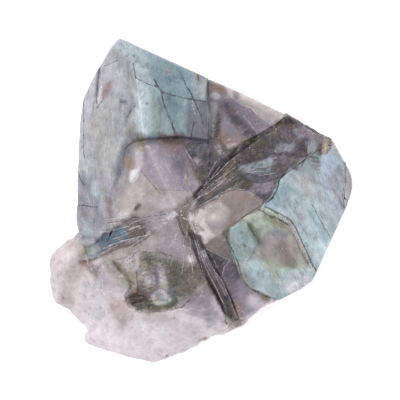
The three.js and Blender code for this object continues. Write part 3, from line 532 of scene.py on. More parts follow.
# ---- the quartz --------------------------------------------------------------------------
QUARTZ_MARKS = [
    # the middle, darker than the rim because no light comes in from the side
    patch("dusk", [(-182, -117), (-167, 20), (-129, 111), (15, 130), (118, 153), (190, 134), (276, 20),
        (118, -189), (76, -223), (42, -223), (-8, -204), (-61, -128), (-114, -94),
        (-160, -113)], 2.2, 0.95, 0.8),
    patch("smoky", [(-8, -67), (76, -75), (84, -162), (76, -223), (49, -223), (8, -151)], 1.6, 0.7, 0.5),
    # natural quartz at the lower left
    patch("pink_milk", [(-293, -109), (-228, -52), (-171, -94), (-152, -170), (-190, -246),
        (-266, -227)], 1.5, 0.6, 0.25),
    patch("milk", [(-220, -231), (-137, -208), (-46, -212), (27, -189), (42, -219), (11, -265), (-76, -307),
        (-209, -280), (-228, -257)], 1.5, 0.9, 0.25),
    patch("milk", [(-19, -212), (11, -223), (15, -257), (-38, -284), (-76, -273),
        (-68, -235)], 1.6, 0.8, 0.25),
    band("pink_white", 1.3, [(-274, -121), (-277, -159), (-266, -189)], 1.4, 0.5, 0.5),
    band("smoky_pink", 1.2, [(-255, -181), (-247, -143), (-220, -117)], 1.6, 0.45, 0.6),
    band("clay", 0.6, [(-247, -86), (-217, -71)], 1, 0.4),
    patch("frost", [(-224, -159), (-190, -149), (-167, -174), (-171, -212), (-198, -231),
        (-224, -212)], 0.8, 0.85, 0.5),
    band("white", 0.7, [(-110, -238), (-80, -250), (-91, -273)], 1.2, 0.6, 0.6),
    band("white", 0.4, [(-266, -166), (-281, -200)], 1, 0.4, 0.5),
    band("white", 0.5, [(-190, -254), (-152, -273), (-114, -288)], 1.2, 0.4, 0.5),
    patch("clay", [(-167, -185), (-141, -193), (-133, -223), (-152, -235), (-167, -212)], 1.2, 0.45, 0.6),
    band("clay", 0.5, [(-148, -223), (-144, -242)], 1, 0.35),
    band("smoky_pink", 0.8, [(-103, -219), (-68, -223)], 1.2, 0.4, 0.5),
    patch("mauve", [(-38, -181), (8, -170), (27, -200), (11, -223), (-15, -216)], 1.4, 0.8, 0.5),
    band("mauve", 0.5, [(4, -197), (19, -219)], 1.2, 0.5),
    patch("lilac", [(8, -219), (30, -212), (42, -223), (15, -242)], 0.8, 0.7),
    band("pink_white", 1.2, [(-46, -238), (-19, -246), (0, -257)], 1.4, 0.6, 0.3),
    band("lilac", 1.3, [(-125, -174), (-167, -151), (-182, -132)], 1.2, 0.45, 0.5),
    band("mauve", 0.7, [(-194, -136), (-182, -159)], 1.2, 0.4, 0.5),
    # round the mica nest and the small blade
    patch("cream", [(-182, -109), (-118, -86), (-103, -117), (-118, -166), (-156, -155),
        (-179, -128)], 1, 0.6, 0.6),
    band("nest_grey", 0.9, [(-160, -117), (-144, -136), (-125, -162)], 1.2, 0.5, 1.2),
    band("nest_grey", 1.1, [(-106, -105), (-80, -113), (-61, -117)], 1.2, 0.6, 1.2),
    band("deep_olive", 0.25, [(-156, -123), (-148, -132)], 0.5, 0.7, 0.5),
    band("deep_olive", 0.4, [(-101, -117), (-91, -128)], 0.5, 0.7, 0.6),
    band("mica_green", 1.2, [(-65, -121), (-46, -128), (-30, -136)], 1.1, 0.75, 0.7),
    patch("smoky", [(-42, -121), (-4, -128), (6, -159), (-19, -183), (-46, -174)], 1.3, 0.75, 0.6),
    band("olive", 0.4, [(-19, -121), (-4, -128)], 0.7, 0.5, 0.5),
    band("smoky_pink", 0.9, [(-160, -98), (-122, -85)], 0.7, 0.75, 0.3),
    band("deep_olive", 0.2, [(-226, -117), (-201, -111), (-179, -102), (-152, -88),
        (-114, -79)], 0.5, 0.75, 0.2),
    band("brown", 0.35, [(-211, -124), (-199, -143)], 0.9, 0.6, 0.7),
    band("brown", 0.3, [(-179, -117), (-171, -132)], 0.8, 0.4, 0.6),
    band("rust", 0.35, [(-224, -120), (-215, -117)], 0.6, 0.75, 0.2),
    patch("olive", [(-232, -86), (-213, -75), (-201, -86), (-217, -109), (-228, -102)], 0.9, 0.5, 0.4),
    band("cocoa", 0.6, [(-141, -39), (-125, -29), (-110, -48), (-106, -67)], 0.6, 0.8, 0.3),
    band("smoky", 0.9, [(-106, -41), (-95, -60)], 0.9),
    band("cocoa", 0.25, [(-114, -71), (-80, -60)], 0.6, 0.6, 0.3),
    band("mauve", 0.8, [(-80, -98), (-61, -86)], 1.1, 0.45, 0.5),
    band("cream", 0.8, [(-95, -83), (-65, -71)], 1, 0.4, 0.5),
    # the middle facet
    patch("lilac", [(-108, 109), (-65, 113), (-27, 104), (-11, 66), (-19, 20), (-74, 16),
        (-103, 43)], 0.6, 0.95, 0.15),
    band("mauve", 0.8, [(-61, 96), (-61, 24)], 0.8, 0.5, 0.3),
    patch("mauve", [(-63, 100), (-30, 109), (-13, 69), (-19, 20), (-42, 18), (-57, 47)], 1.4, 0.85, 0.4),
    patch("deep_mauve", [(-53, 104), (-30, 104), (-23, 85), (-34, 54), (-49, 66)], 1.4, 0.7, 0.5),
    band("lilac", 0.6, [(-68, 96), (-65, 28)], 0.9, 0.5, 0.3),
    band("deep_mauve", 0.9, [(-38, 69), (-25, 28)], 1.2),
    band("frost", 0.9, [(-141, 16), (-125, 5), (-118, -10)], 1.2, 0.5),
    patch("cream", [(-160, 20), (-133, 47), (-108, 50), (-76, 16), (-103, -22), (-148, -26)], 0.9, 0.9),
    patch("pink_white", [(-148, 16), (-129, 31), (-110, 28), (-103, 5), (-122, -10),
        (-144, -10)], 1.2, 0.45, 0.4),
    patch("dusk", [(-99, 18), (-23, 18), (-27, -10), (-76, -26), (-110, -14)], 0.9, 0.7),
    band("frost", 0.6, [(-95, 1), (-65, 1)], 1.2, 0.3, 0.5),
    patch("pink_white", [(-120, 105), (-108, 98), (-108, 66), (-122, 58)], 0.3, 0.95, 0.1),
    patch("white", [(-131, 56), (-116, 60), (-118, 45), (-127, 33), (-133, 39)], 0.35, 0.95, 0.1),
    band("smoky_pink", 0.7, [(-135, 85), (-144, 31), (-156, 1)], 0.8, 0.55, 0.3),
    band("clay", 0.6, [(-165, 9), (-167, -29)], 0.7, 0.75, 0.3),
    band("ochre", 0.25, [(-135, 79), (-137, 62)], 0.7, 0.55, 0.5),
    band("brown", 0.15, [(-135, 83), (-133, 73)], 0.5, 0.5),
    band("straw", 0.5, [(-156, -14), (-148, 1)], 0.8, 0.4),
    band("white", 0.5, [(-156, -29), (-141, -26)], 0.9, 0.5),
    band("brown", 0.6, [(-72, 115), (-53, 111), (-38, 113)], 1.1, 0.8, 0.6),
    band("clay", 0.5, [(-61, 100), (-42, 96)], 1, 0.5, 0.5),
    band("slate", 0.4, [(-103, 111), (-80, 113)], 0.8, 0.5, 0.5),
    band("night", 0.3, [(-121, -16), (-116, -9)], 0.35, 0.9, 0.3),
    band("deep_olive", 0.15, [(-26, 43), (-25, 35)], 0.35, 0.7, 0.2),
    band("lilac", 1, [(-95, -41), (-65, -37)], 1.2),
    band("frost", 0.4, [(-80, -10), (-53, -10)], 1, 0.25),
    band("clay", 0.4, [(-125, -26), (-99, -10)], 0.8, 0.4),
    # lower middle, between the junction and the blades
    band("lilac", 1.4, [(-53, -48), (-30, -90)], 1.4),
    band("dusk", 0.9, [(-76, -60), (-46, -98)], 1.4, 0.5),
    band("frost", 0.3, [(-95, -67), (-87, -94)], 0.8, 0.4),
    band("mauve", 0.4, [(-65, -60), (-53, -86)], 0.9, 0.4),
    band("mauve", 0.9, [(-76, -94), (-46, -105)], 1.2, 0.5, 0.5),
    band("white", 0.3, [(-23, -86), (-17, -113)], 0.4, 0.9, 0.15),
    band("smoky", 0.5, [(-42, -29), (-30, -67), (-19, -98)], 0.5, 0.85, 0.1),
    # the star and the smoky band that leaves it
    band("smoky", 1.3, [(-36, -22), (-8, -5), (23, 12), (49, 31), (68, 47)], 0.8, 0.9, 0.2),
    band("smoky_pink", 0.5, [(-15, -10), (15, 7), (42, 24)], 0.6, 0.6, 0.3),
    band("brown", 0.4, [(8, 16), (42, 39), (68, 62)], 0.6, 0.55, 0.3),
    band("olive", 0.5, [(-32, -29), (-23, -24)], 0.6, 0.65),
    band("white", 0.3, [(-57, -33), (-49, -26)], 0.4, 0.8, 0.3),
    # the lens and the bulge
    patch("rosy_grey", [(8, -10), (27, 5), (49, 20), (72, 24), (99, 9), (123, -3), (110, -14), (87, -26),
        (61, -48), (23, -60), (4, -37)], 0.5, 1, 0.15),
    patch("smoky", [(42, 12), (76, 18), (103, 5), (110, -9), (76, -22), (57, -22), (42, -7)], 1, 0.25, 0.4),
    patch("cream", [(6, -26), (15, -14), (30, -9), (49, -10), (57, -26), (53, -45), (38, -56), (15, -56),
        (4, -45)], 0.5, 0.9, 0.1),
    # A pale pink spot on top of the bulge: a painted highlight.
    band("pink_milk", 0.5, [(15, -35), (42, -37)], 1.4, 0.25, 0.3),
    band("lilac", 0.5, [(15, -48), (42, -48)], 0.8, 0.5, 0.3),
    band("pink_white", 0.25, [(9, -24), (15, -12), (25, -7), (38, -6)], 0.4, 0.8, 0.15),
    band("clay", 0.5, [(55, -48), (61, -37)], 0.8, 0.7, 0.3),
    band("deep_olive", 0.35, [(44, -64), (51, -58)], 0.5, 0.8, 0.3),
    band("ochre", 0.25, [(49, -52)], 0.6, 0.6, 0.3),
    band("olive", 0.25, [(118, -12), (99, -24), (84, -35)], 0.5, 0.6, 0.2),
    # the broken patch below the bulge
    patch("pink_milk", [(-21, -22), (-8, -33), (0, -18), (9, -22), (8, -41), (19, -58), (27, -66),
        (11, -81), (-6, -69), (-21, -43)], 0.3, 0.95),
    band("dusk", 0.4, [(-13, -48), (2, -71)], 0.5),
    band("brown", 0.15, [(-4, -45), (6, -56)], 0.4, 0.7, 0.3),
    band("smoky", 0.2, [(-15, -41), (-4, -60)], 0.4, 0.7, 0.3),
    band("white", 0.3, [(0, -64), (15, -71)], 0.4, 0.8, 0.3),
    # between the blades and the six-sided emerald
    patch("smoky", [(15, -71), (49, -75), (72, -117), (65, -147), (42, -136), (27, -98)], 0.9, 0.7),
    patch("deep_mauve", [(42, -117), (72, -124), (84, -162), (76, -189), (53, -181),
        (34, -151)], 0.8, 0.85, 0.4),
    patch("mica", [(46, -117), (68, -124), (76, -147), (57, -155), (42, -140)], 0.8, 0.5, 0.4),
    patch("mica", [(13, -92), (55, -111), (44, -123), (38, -145), (23, -117)], 0.3, 0.9, 0.1),
    band("deep_mauve", 1, [(42, -162), (61, -181)], 1.2),
    patch("lilac", [(76, -155), (95, -170), (125, -187), (118, -204), (84, -219), (72, -197)], 0.9, 0.85),
    band("milk", 0.8, [(99, -189), (118, -197)], 1, 0.6, 0.3),
    band("clay", 0.7, [(72, -197), (76, -223)], 0.8, 0.6, 0.3),
    band("rust", 0.4, [(122, -183), (129, -187)], 0.6, 0.6, 0.3),
    # the wedge at the upper right
    patch("mauve", [(15, 225), (167, 153), (152, 123), (103, 115), (57, 96), (15, 126)], 1, 0.8, 0.2),
    patch("cream", [(40, 218), (163, 153), (146, 136), (110, 162), (95, 176), (72, 185),
        (53, 202)], 0.4, 0.85, 0.15),
    band("pink_milk", 0.35, [(49, 212), (99, 189), (156, 159)], 0.7, 0.7, 0.3),
    patch("rose_mauve", [(99, 170), (114, 155), (142, 134), (125, 121), (106, 123)], 0.6, 0.6),
    patch("deep_mauve", [(59, 191), (95, 172), (110, 153), (104, 126), (76, 149),
        (53, 180)], 0.7, 0.85, 0.2),
    patch("deep_mauve", [(15, 199), (49, 191), (84, 134), (76, 104), (42, 96), (23, 126)], 1.4, 0.55, 0.6),
    patch("mauve", [(42, 145), (68, 142), (84, 119), (61, 111), (38, 126)], 0.8, 0.65),
    patch("clay", [(15, 225), (42, 218), (49, 202), (27, 206), (15, 202)], 0.6, 0.9),
    band("slate", 0.9, [(32, 195), (48, 180)], 1, 0.6, 0.5),
    band("milk", 0.5, [(27, 200), (30, 197)], 0.5, 0.7, 0.3),
    band("pale_green", 0.6, [(27, 176), (25, 153), (23, 134)], 0.8, 0.45, 0.3),
    band("smoky", 0.4, [(34, 172), (38, 134), (34, 111)], 0.7),
    band("mica", 0.7, [(48, 180), (65, 155), (87, 132), (103, 117)], 0.9, 0.85, 0.25),
    band("clay", 0.8, [(46, 119), (57, 105), (76, 109)], 0.8, 0.75),
    band("pink_white", 0.3, [(55, 102), (65, 104)], 0.5, 0.7, 0.3),
    band("mica", 0.4, [(68, 202), (70, 197)], 0.5, 0.5, 0.3),
    # the rim at the far right
    patch("rose_mauve", [(274, 77), (291, 39), (289, 1), (274, -14), (270, 20)], 0.5, 0.85, 0.2),
    band("lilac", 0.3, [(283, 43), (285, 16)], 0.5, 0.6, 0.2),
]

QUARTZ_CRACKS = lines(
    (0.07, [(-111, 56), (-95, 37), (-76, 15)]),
    (0.05, [(-76, 20), (-48, 19), (-21, 20)]),
    (0.07, [(-42, -29), (-30, -67), (-19, -98)]),
    (0.06, [(-27, -10), (8, 12), (42, 31)]),
    (0.07, [(13, -92), (25, -117), (38, -145)]),
    (0.05, [(55, -112), (45, -123), (39, -143)]),
    (0.05, [(-76, -22), (-65, -19)]),
    (0.05, [(-75, -28), (-63, -25)]),
    (0.06, [(-226, -116), (-199, -110), (-175, -100), (-148, -88), (-114, -79)]),
    (0.05, [(-80, -292), (-72, -298), (-65, -299)]),
    (0.1, [(43, -60), (49, -66), (55, -83)]),
)

QUARTZ_GLINTS = lines(
    (0.091, [(58, 199), (67, 189), (78, 182), (97, 175), (110, 162), (127, 149), (144, 136)]),
    (0.06, [(-28, 98), (-21, 85), (-15, 75), (-9, 62)]),
    (0.056, [(82, 161), (106, 132), (110, 121)]),
    (0.07, [(11, -24), (16, -12), (26, -7), (40, -6)]),
    (0.056, [(25, 5), (46, 17), (67, 23), (87, 19), (112, 6), (123, -5)]),
    (0.056, [(-32, -14), (-8, 2), (19, 18), (46, 36)]),
    (0.049, [(-19, -16), (8, -5), (27, 5)]),
    (0.056, [(12, -91), (34, -102), (55, -112)]),
    (0.056, [(57, -114), (47, -124), (41, -144)]),
    (0.07, [(-22, -88), (-18, -105), (-14, -119)]),
    (0.056, [(-61, -39), (-53, -29), (-46, -25)]),
    (0.049, [(-68, -22), (-57, -28), (-44, -26)]),
    (0.049, [(-91, -56), (-68, -41), (-46, -29)]),
    (0.056, [(-116, 104), (-109, 96), (-108, 67)]),
    (0.056, [(-130, 35), (-122, 43), (-115, 58)]),
    (0.049, [(11, -102), (23, -124), (38, -151)]),
    (0.042, [(-46, -33), (-34, -71), (-23, -102)]),
)

STAR = (-2.3, -1.8)
# Fine straight cleavage lines round the star: from and to which turn, and how far out.
PALE_SPLINTERS = (
    splinters(STAR, (186, 214), (1.5, 17), 0.05, 16, 1)
    + splinters(STAR, (96, 128), (1.5, 12), 0.03, 5, 2)
    + splinters(STAR, (238, 300), (2, 12), 0.045, 16, 3)
    + splinters(STAR, (20, 62), (1.5, 13), 0.045, 12, 4)
)
DARK_SPLINTERS = (
    splinters(STAR, (188, 220), (2, 15), 0.05, 10, 5)
    + splinters(STAR, (238, 300), (3, 16), 0.045, 9, 6)
    + splinters(STAR, (20, 56), (2, 15), 0.05, 10, 7)
)

# ---- the mica ----------------------------------------------------------------------------
SEAM_GROUND = [
    patch("mica", [(-30, 104), (-15, 111), (13, 113), (23, 130), (32, 168), (38, 115), (53, 92), (76, 102),
        (99, 117), (129, 130), (163, 157), (196, 142), (253, 119), (228, 111), (205, 109), (198, 85),
        (194, 62), (171, 52), (158, 39), (150, 20), (137, 5), (123, -7), (95, 16), (72, 24), (49, 16),
        (23, 3), (-8, -12), (-9, 5), (6, 22), (-8, 54), (-19, 81)], 0.5, 0.92, 0.5),
]

SEAM_MARKS = SEAM_GROUND + [
    band("deep_mauve", 0.5, [(-19, 100), (-4, 96), (11, 100)], 0.8, 0.6, 0.5),
    band("mica_green", 0.9, [(4, 77), (11, 47)], 1.1, 0.6, 0.6),
    band("night", 0.3, [(19, 96), (17, 62)], 0.6, 0.5),
    band("mauve", 0.3, [(-8, 77), (0, 69)], 0.6, 0.5, 0.5),
    band("cocoa", 0.5, [(30, 161), (34, 126), (36, 100)], 0.5, 0.8),
    band("straw", 0.15, [(-25, 43), (-23, 31)], 0.5, 0.4),
    band("brown", 0.35, [(-19, 77), (-8, 50), (2, 31)]),
    band("smoky", 0.5, [(27, 115), (38, 96), (49, 85)], 0.8, 0.6, 0.6),
    band("grey_beryl", 0.35, [(32, 100), (36, 92)], 0.5),
    band("night", 0.3, [(-8, 16), (21, 41), (44, 66), (76, 95), (99, 111)], 0.7, 0.6, 0.5),
    band("slate", 0.3, [(6, 39), (27, 62), (46, 85)], 0.6, 0.5, 0.5),
    band("deep_olive", 0.3, [(42, 54), (61, 73), (84, 88)], 0.6, 0.6, 0.5),
    band("rose_mauve", 0.4, [(27, 24), (46, 35), (57, 43)], 0.6, 0.7, 0.5),
    band("frost", 0.12, [(-8, 77), (-6, 67)], 0.5, 0.4, 0.3),
    band("deep_olive", 0.8, [(102, 117), (118, 111)], 0.7, 0.85),
    patch("cocoa", [(27, 47), (76, 92), (118, 107), (144, 96), (118, 81), (76, 62),
        (42, 35)], 0.7, 0.7, 0.4),
    band("smoky", 0.5, [(8, 14), (38, 35), (65, 54)], 0.6, 0.45, 0.3),
    band("umber", 0.5, [(11, 31), (38, 54), (65, 73)], 0.7, 0.45, 0.5),
    band("night", 0.4, [(8, 96), (8, 47)], 0.7, 0.4, 0.5),
    band("mica", 0.8, [(87, 85), (122, 96), (148, 92)], 0.8, 0.5, 0.5),
    band("blue_grey", 0.8, [(84, 58), (110, 66), (137, 73)], 0.6, 0.85),
    band("blue_teal", 0.35, [(91, 47), (118, 50), (148, 62)], 0.5, 0.7),
    band("pale_teal", 0.3, [(118, 69), (144, 75)], 0.4, 0.6, 0.3),
    band("plum", 0.4, [(76, 50), (110, 43), (141, 47)], 0.5, 0.7),
    band("plum", 0.5, [(87, 77), (118, 85)], 0.6, 0.7),
    band("cocoa", 0.9, [(152, 77), (144, 54), (133, 28)], 0.8, 0.75, 0.5),
    band("slate", 0.5, [(99, 35), (125, 37), (148, 47)], 0.7, 0.6, 0.5),
    band("slate", 0.4, [(129, 92), (163, 73), (182, 58)], 0.7, 0.5, 0.5),
    band("rose_mauve", 0.4, [(148, 92), (160, 81)], 0.7, 0.5),
    band("blue_grey", 0.7, [(154, 98), (171, 100)], 0.8, 0.75),
    band("plum", 0.3, [(152, 88), (182, 86)], 0.4, 0.6, 0.3),
    band("blue_grey", 0.7, [(186, 138), (194, 123)], 0.6, 0.85),
    band("rose_mauve", 0.5, [(163, 123), (182, 115)], 0.8, 0.5),
    band("smoky", 0.5, [(175, 77), (190, 69)], 0.8, 0.5),
    band("mauve", 0.8, [(103, 22), (129, 26)], 0.8, 0.8),
    band("deep_olive", 0.7, [(68, 33), (91, 31)], 0.7, 0.85),
    band("plum", 0.6, [(137, 9), (156, 39)], 0.7, 0.75, 0.3),
    band("umber", 0.5, [(201, 115), (201, 85)], 0.7, 0.7, 0.3),
    band("rose_mauve", 0.7, [(198, 130), (224, 123), (247, 113)], 0.6, 0.75, 0.3),
    band("cocoa", 0.4, [(182, 96), (196, 85)], 0.5, 0.6, 0.5),
    band("slate", 0.4, [(209, 107), (224, 100)], 0.6, 0.5),
    band("umber", 0.6, [(152, 145), (171, 153), (190, 145)], 0.6, 0.7, 0.5),
    band("rust", 0.15, [(171, 142), (179, 138)], 0.5, 0.5, 0.3),
    band("night", 0.2, [(167, 157), (175, 149)], 0.4, 0.7, 0.3),
    band("smoky", 0.4, [(133, 126), (152, 134)], 0.6, 0.5),
    band("brown", 0.3, [(42, 54), (68, 75), (91, 88)], 0.5, 0.5, 0.3),
]

SEAM_CRACKS = lines(
    (0.1, [(-8, 14), (9, 29), (27, 47), (44, 66), (61, 82), (76, 95)]),
    (0.08, [(76, 95), (99, 110), (118, 123), (141, 134)]),
    (0.06, [(6, 39), (23, 58), (42, 81)]),
    (0.05, [(53, 54), (76, 77), (95, 92)]),
    (0.08, [(87, 37), (118, 33), (148, 43)]),
    (0.07, [(84, 81), (114, 92), (144, 88), (182, 85)]),
    (0.06, [(49, 47), (72, 66)]),
    (0.07, [(203, 115), (201, 81), (190, 62)]),
    (0.06, [(95, 62), (118, 60), (144, 66)]),
)

SEAM_GLINTS = lines(
    (0.056, [(-2, 9), (27, 35), (46, 49), (67, 63)]),
    (0.049, [(8, 28), (30, 48), (53, 71)]),
    (0.042, [(49, 69), (76, 88)]),
    (0.042, [(91, 53), (118, 56)]),
    (0.042, [(118, 76), (146, 81)]),
    (0.042, [(110, 47), (144, 52)]),
)

BLADES_GROUND = [
    patch("plum", [(-19, -60), (0, -67), (13, -92), (27, -117), (42, -147), (59, -178), (74, -227),
        (63, -229), (42, -208), (15, -159), (-8, -105)], 0.35, 0.92, 0.2),
]

MICA_BLADE_MARKS = BLADES_GROUND + [
    band("brown", 0.55, [(-30, -37), (-19, -60), (-8, -79)], 0.4, 0.75, 0.2),
    band("plum", 0.5, [(-19, -67), (8, -117), (30, -162), (68, -231)], 0.6, 0.8, 0.2),
    band("brown", 0.3, [(-4, -86), (23, -128), (46, -174)], 0.6, 0.4),
    band("mica", 0.5, [(-8, -75), (11, -102), (30, -132)], 0.5, 0.7, 0.2),
    band("smoky", 0.4, [(-38, -33), (-27, -60)], 0.5, 0.8, 0.2),
    band("umber", 0.25, [(0, -117), (27, -166), (61, -223)], 0.4, 0.6, 0.3),
    band("rose_mauve", 0.3, [(0, -94), (19, -128), (38, -170)], 0.5),
    band("smoky", 0.3, [(23, -143), (46, -189), (65, -219)], 0.5),
    band("frost", 0.2, [(6, -96), (9, -104)], 0.4, 0.6, 0.3),
    band("lilac", 0.2, [(30, -140), (49, -178)], 0.4, 0.5, 0.2),
]

MICA_BLADE_CRACKS = lines(
    (0.05, [(-19, -75), (0, -113), (19, -159), (49, -212)]),
    (0.05, [(8, -105), (30, -151), (61, -212)]),
    (0.04, [(-11, -83), (15, -136), (42, -193)]),
)

MICA_BLADE_GLINTS = lines(
    (0.049, [(-11, -75), (2, -105), (15, -136), (29, -162), (44, -195)]),
    (0.049, [(8, -94), (17, -113), (29, -136), (42, -153), (55, -183), (70, -223)]),
    (0.042, [(-4, -83), (11, -117), (27, -147)]),
)

NEST_GROUND = [
    patch("nest_grey", [(-160, -117), (-141, -107), (-125, -117), (-110, -102), (-87, -107), (-57, -115),
        (-30, -126), (0, -140), (-4, -162), (-30, -174), (-46, -193), (-61, -206), (-95, -208),
        (-125, -202), (-135, -187), (-129, -170), (-141, -151)], 1.2, 0.8, 1.1),
]

# The quartz round the nest, which sinks to the nest's level.
NEST_SURROUND = [
    patch("cream", [(-179, -105), (-141, -90), (-95, -90), (-30, -109), (11, -132), (4, -178), (-46, -212),
        (-114, -219), (-148, -197), (-156, -159)], 2.4, 1),
]

# Pale grains of quartz and cream crust in the nest.
LEFT_GRAIN = [(-104, -149), (-97, -140), (-86, -145), (-84, -159), (-95, -164), (-104, -161)]
RIGHT_GRAIN = [(-91, -178), (-80, -168), (-65, -174), (-57, -187), (-65, -197), (-82, -197), (-91, -191)]
NEST_GRAINS = [
    patch("frost", LEFT_GRAIN, 0.8, 1, 0.4),
    patch("frost", RIGHT_GRAIN, 0.8, 1, 0.4),
    patch("cream", [(-175, -117), (-148, -98), (-118, -90), (-112, -117), (-116, -162), (-141, -166),
        (-163, -140)], 1.4, 1, 0.9),
    band("frost", 0.6, [(-72, -132), (-67, -170)], 0.8, 0.8),
]

NEST_MARKS = NEST_GROUND + [
    patch("cream", [(-175, -117), (-148, -98), (-120, -90), (-114, -117), (-118, -155), (-141, -162),
        (-163, -140)], 1.4, 0.9, 0.9),
    band("pink_milk", 0.7, [(-141, -117), (-133, -132)], 1, 0.5, 0.5),
    band("cream", 0.3, [(-160, -117), (-141, -105), (-118, -94), (-103, -86)], 0.6, 0.65, 0.6),
    band("deep_olive", 0.3, [(-161, -117), (-158, -126), (-152, -132)], 0.5, 0.8, 0.6),
    band("nest_grey", 0.5, [(-163, -124), (-148, -140), (-141, -155)], 1.2, 0.6, 1),
    band("cream", 0.3, [(-152, -140), (-141, -162)], 0.6, 0.6, 0.8),
    band("olive", 0.45, [(-141, -143), (-125, -159)], 0.8, 0.65, 1),
    band("smoky", 0.3, [(-113, -102), (-115, -128)], 0.5, 0.7, 0.3),
    band("lilac", 0.5, [(-117, -105), (-118, -128)], 0.5, 0.5, 0.3),
    band("frost", 0.3, [(-120, -102), (-120, -128)], 0.5, 0.6, 0.3),
    patch("mica_green", [(-106, -105), (-87, -107), (-65, -117), (-68, -128), (-95, -128),
        (-106, -121)], 0.9, 0.65, 0.9),
    band("straw", 0.3, [(-110, -117), (-99, -128), (-106, -143)], 0.6, 0.6, 0.8),
    band("olive", 0.5, [(-152, -124), (-133, -140), (-129, -159)], 1, 0.5, 1),
    band("cream", 0.5, [(-114, -132), (-118, -155), (-125, -170)], 0.8, 0.7, 0.9),
    band("ochre", 0.2, [(-129, -128), (-122, -143)], 0.5, 0.5, 0.8),
    band("deep_olive", 0.3, [(-103, -111), (-95, -117)], 0.5, 0.7, 0.6),
    band("night", 0.12, [(-99, -126), (-97, -132)], 0.4),
    band("olive", 0.4, [(-84, -117), (-68, -124)], 0.7, 0.6, 0.6),
    patch("mica_green", [(-65, -117), (-46, -117), (-30, -128), (-38, -155), (-49, -181), (-65, -193),
        (-61, -159)], 0.9, 0.8, 0.6),
    band("deep_olive", 0.7, [(-53, -124), (-42, -143), (-46, -170)], 0.9, 0.6, 0.6),
    patch("brown", [(-38, -121), (0, -132), (0, -155), (-19, -174), (-38, -170)], 1.2, 0.7, 0.6),
    band("smoky", 0.8, [(-19, -136), (-15, -155)], 1, 0.5, 0.5),
    band("lilac", 0.7, [(-76, -128), (-72, -151), (-74, -170)], 0.8, 0.7),
    band("frost", 0.35, [(-72, -136), (-68, -155)]),
    band("slate", 0.4, [(-83, -140), (-80, -159)], 0.5, 0.8),
    patch("frost", LEFT_GRAIN, 0.4, 0.65, 0.5),
    band("slate", 0.2, [(-95, -143), (-87, -155), (-91, -162)], 0.4, 0.5),
    band("olive", 0.3, [(-106, -164), (-95, -168), (-84, -164)], 0.5, 0.6, 0.6),
    band("mauve", 0.35, [(-99, -136), (-91, -132)], 0.6, 0.7, 0.5),
    band("pale_green", 0.35, [(-68, -159), (-61, -170)], 0.7, 0.6, 0.5),
    band("slate", 0.5, [(-53, -170), (-49, -193)], 0.7, 0.7, 0.5),
    patch("umber", [(-135, -183), (-123, -168), (-103, -164), (-89, -181), (-95, -200), (-118, -204),
        (-133, -197)], 0.8, 0.5, 0.9),
    band("clay", 0.5, [(-122, -174), (-110, -178)], 0.7, 0.7, 0.5),
    band("rose_mauve", 0.45, [(-101, -172), (-93, -183)], 0.6, 0.8),
    band("night", 0.35, [(-125, -193), (-103, -200)], 0.6, 0.4, 0.5),
    patch("frost", RIGHT_GRAIN, 0.4, 0.75, 0.5),
    band("slate", 0.2, [(-80, -170), (-82, -183), (-76, -195)], 0.4, 0.5),
    band("pale_green", 0.3, [(-87, -189), (-72, -195)], 0.5),
    band("brown", 0.12, [(-91, -176), (-80, -168)], 0.4, 0.7),
    band("green_teal", 0.3, [(-72, -185), (-61, -193)], 0.5),
    band("deep_olive", 0.35, [(-95, -202), (-76, -204), (-57, -200), (-46, -189)], 0.5, 0.85, 0.5),
    band("olive", 0.4, [(-87, -206), (-68, -206)], 0.6, 0.6, 0.6),
]

NEST_CRACKS = lines(
    (0.08, [(-129, -197), (-114, -204), (-99, -205)]),
)

NEST_GLINTS = lines(
    (0.06, [(-110, -168), (-91, -162), (-76, -170)]),
    (0.05, [(-103, -94), (-114, -98), (-125, -102)]),
)


# ---- where the finish changes ------------------------------------------------------------
BROKEN_QUARTZ = [
    patch("white", [(-23, -22), (4, -18), (27, -71), (11, -81), (-19, -48)], 0.5, 1),
    patch("white", [(-224, -159), (-190, -147), (-165, -174), (-171, -212), (-198, -231),
        (-224, -212)], 0.8, 1, 0.5),
    band("white", 1, [(-106, -238), (-80, -250), (-91, -276)], 1, 0.8, 0.5),
    band("white", 0.9, [(-61, -35), (-42, -24), (-27, -28)], 0.6, 1, 0.3),
    band("white", 0.6, [(-156, -28), (-137, -24)], 0.6, 0.7, 0.3),
]

# Where small dark flakes lie in the quartz.
FLECKED_QUARTZ = [
    band("mica", 2.2, [(-167, -117), (-137, -143), (-125, -174)], 2.2, 0.8, 0.8),
    band("mica", 2.5, [(-103, -109), (-53, -124), (-30, -140)], 2.2, 0.9, 0.8),
    band("mica", 1.2, [(-217, -121), (-190, -132)], 1.8, 0.7, 0.8),
    band("mica", 1, [(-38, -26), (11, 12), (68, 54)], 1, 0.8),
    band("mica", 1, [(11, 199), (30, 157), (42, 100)], 1.2, 0.8, 0.5),
    band("mica", 1, [(-141, -41), (-103, -71), (-76, -56)], 1.4, 0.8, 0.5),
    band("mica", 0.8, [(-23, -86), (11, -159), (53, -231)], 1.4, 0.5, 0.5),
    band("mica", 1, [(106, 119), (144, 138), (190, 130)], 1.2, 0.8, 0.5),
    band("mica", 1, [(-133, -208), (-46, -212)], 1.4, 0.5, 0.8),
]

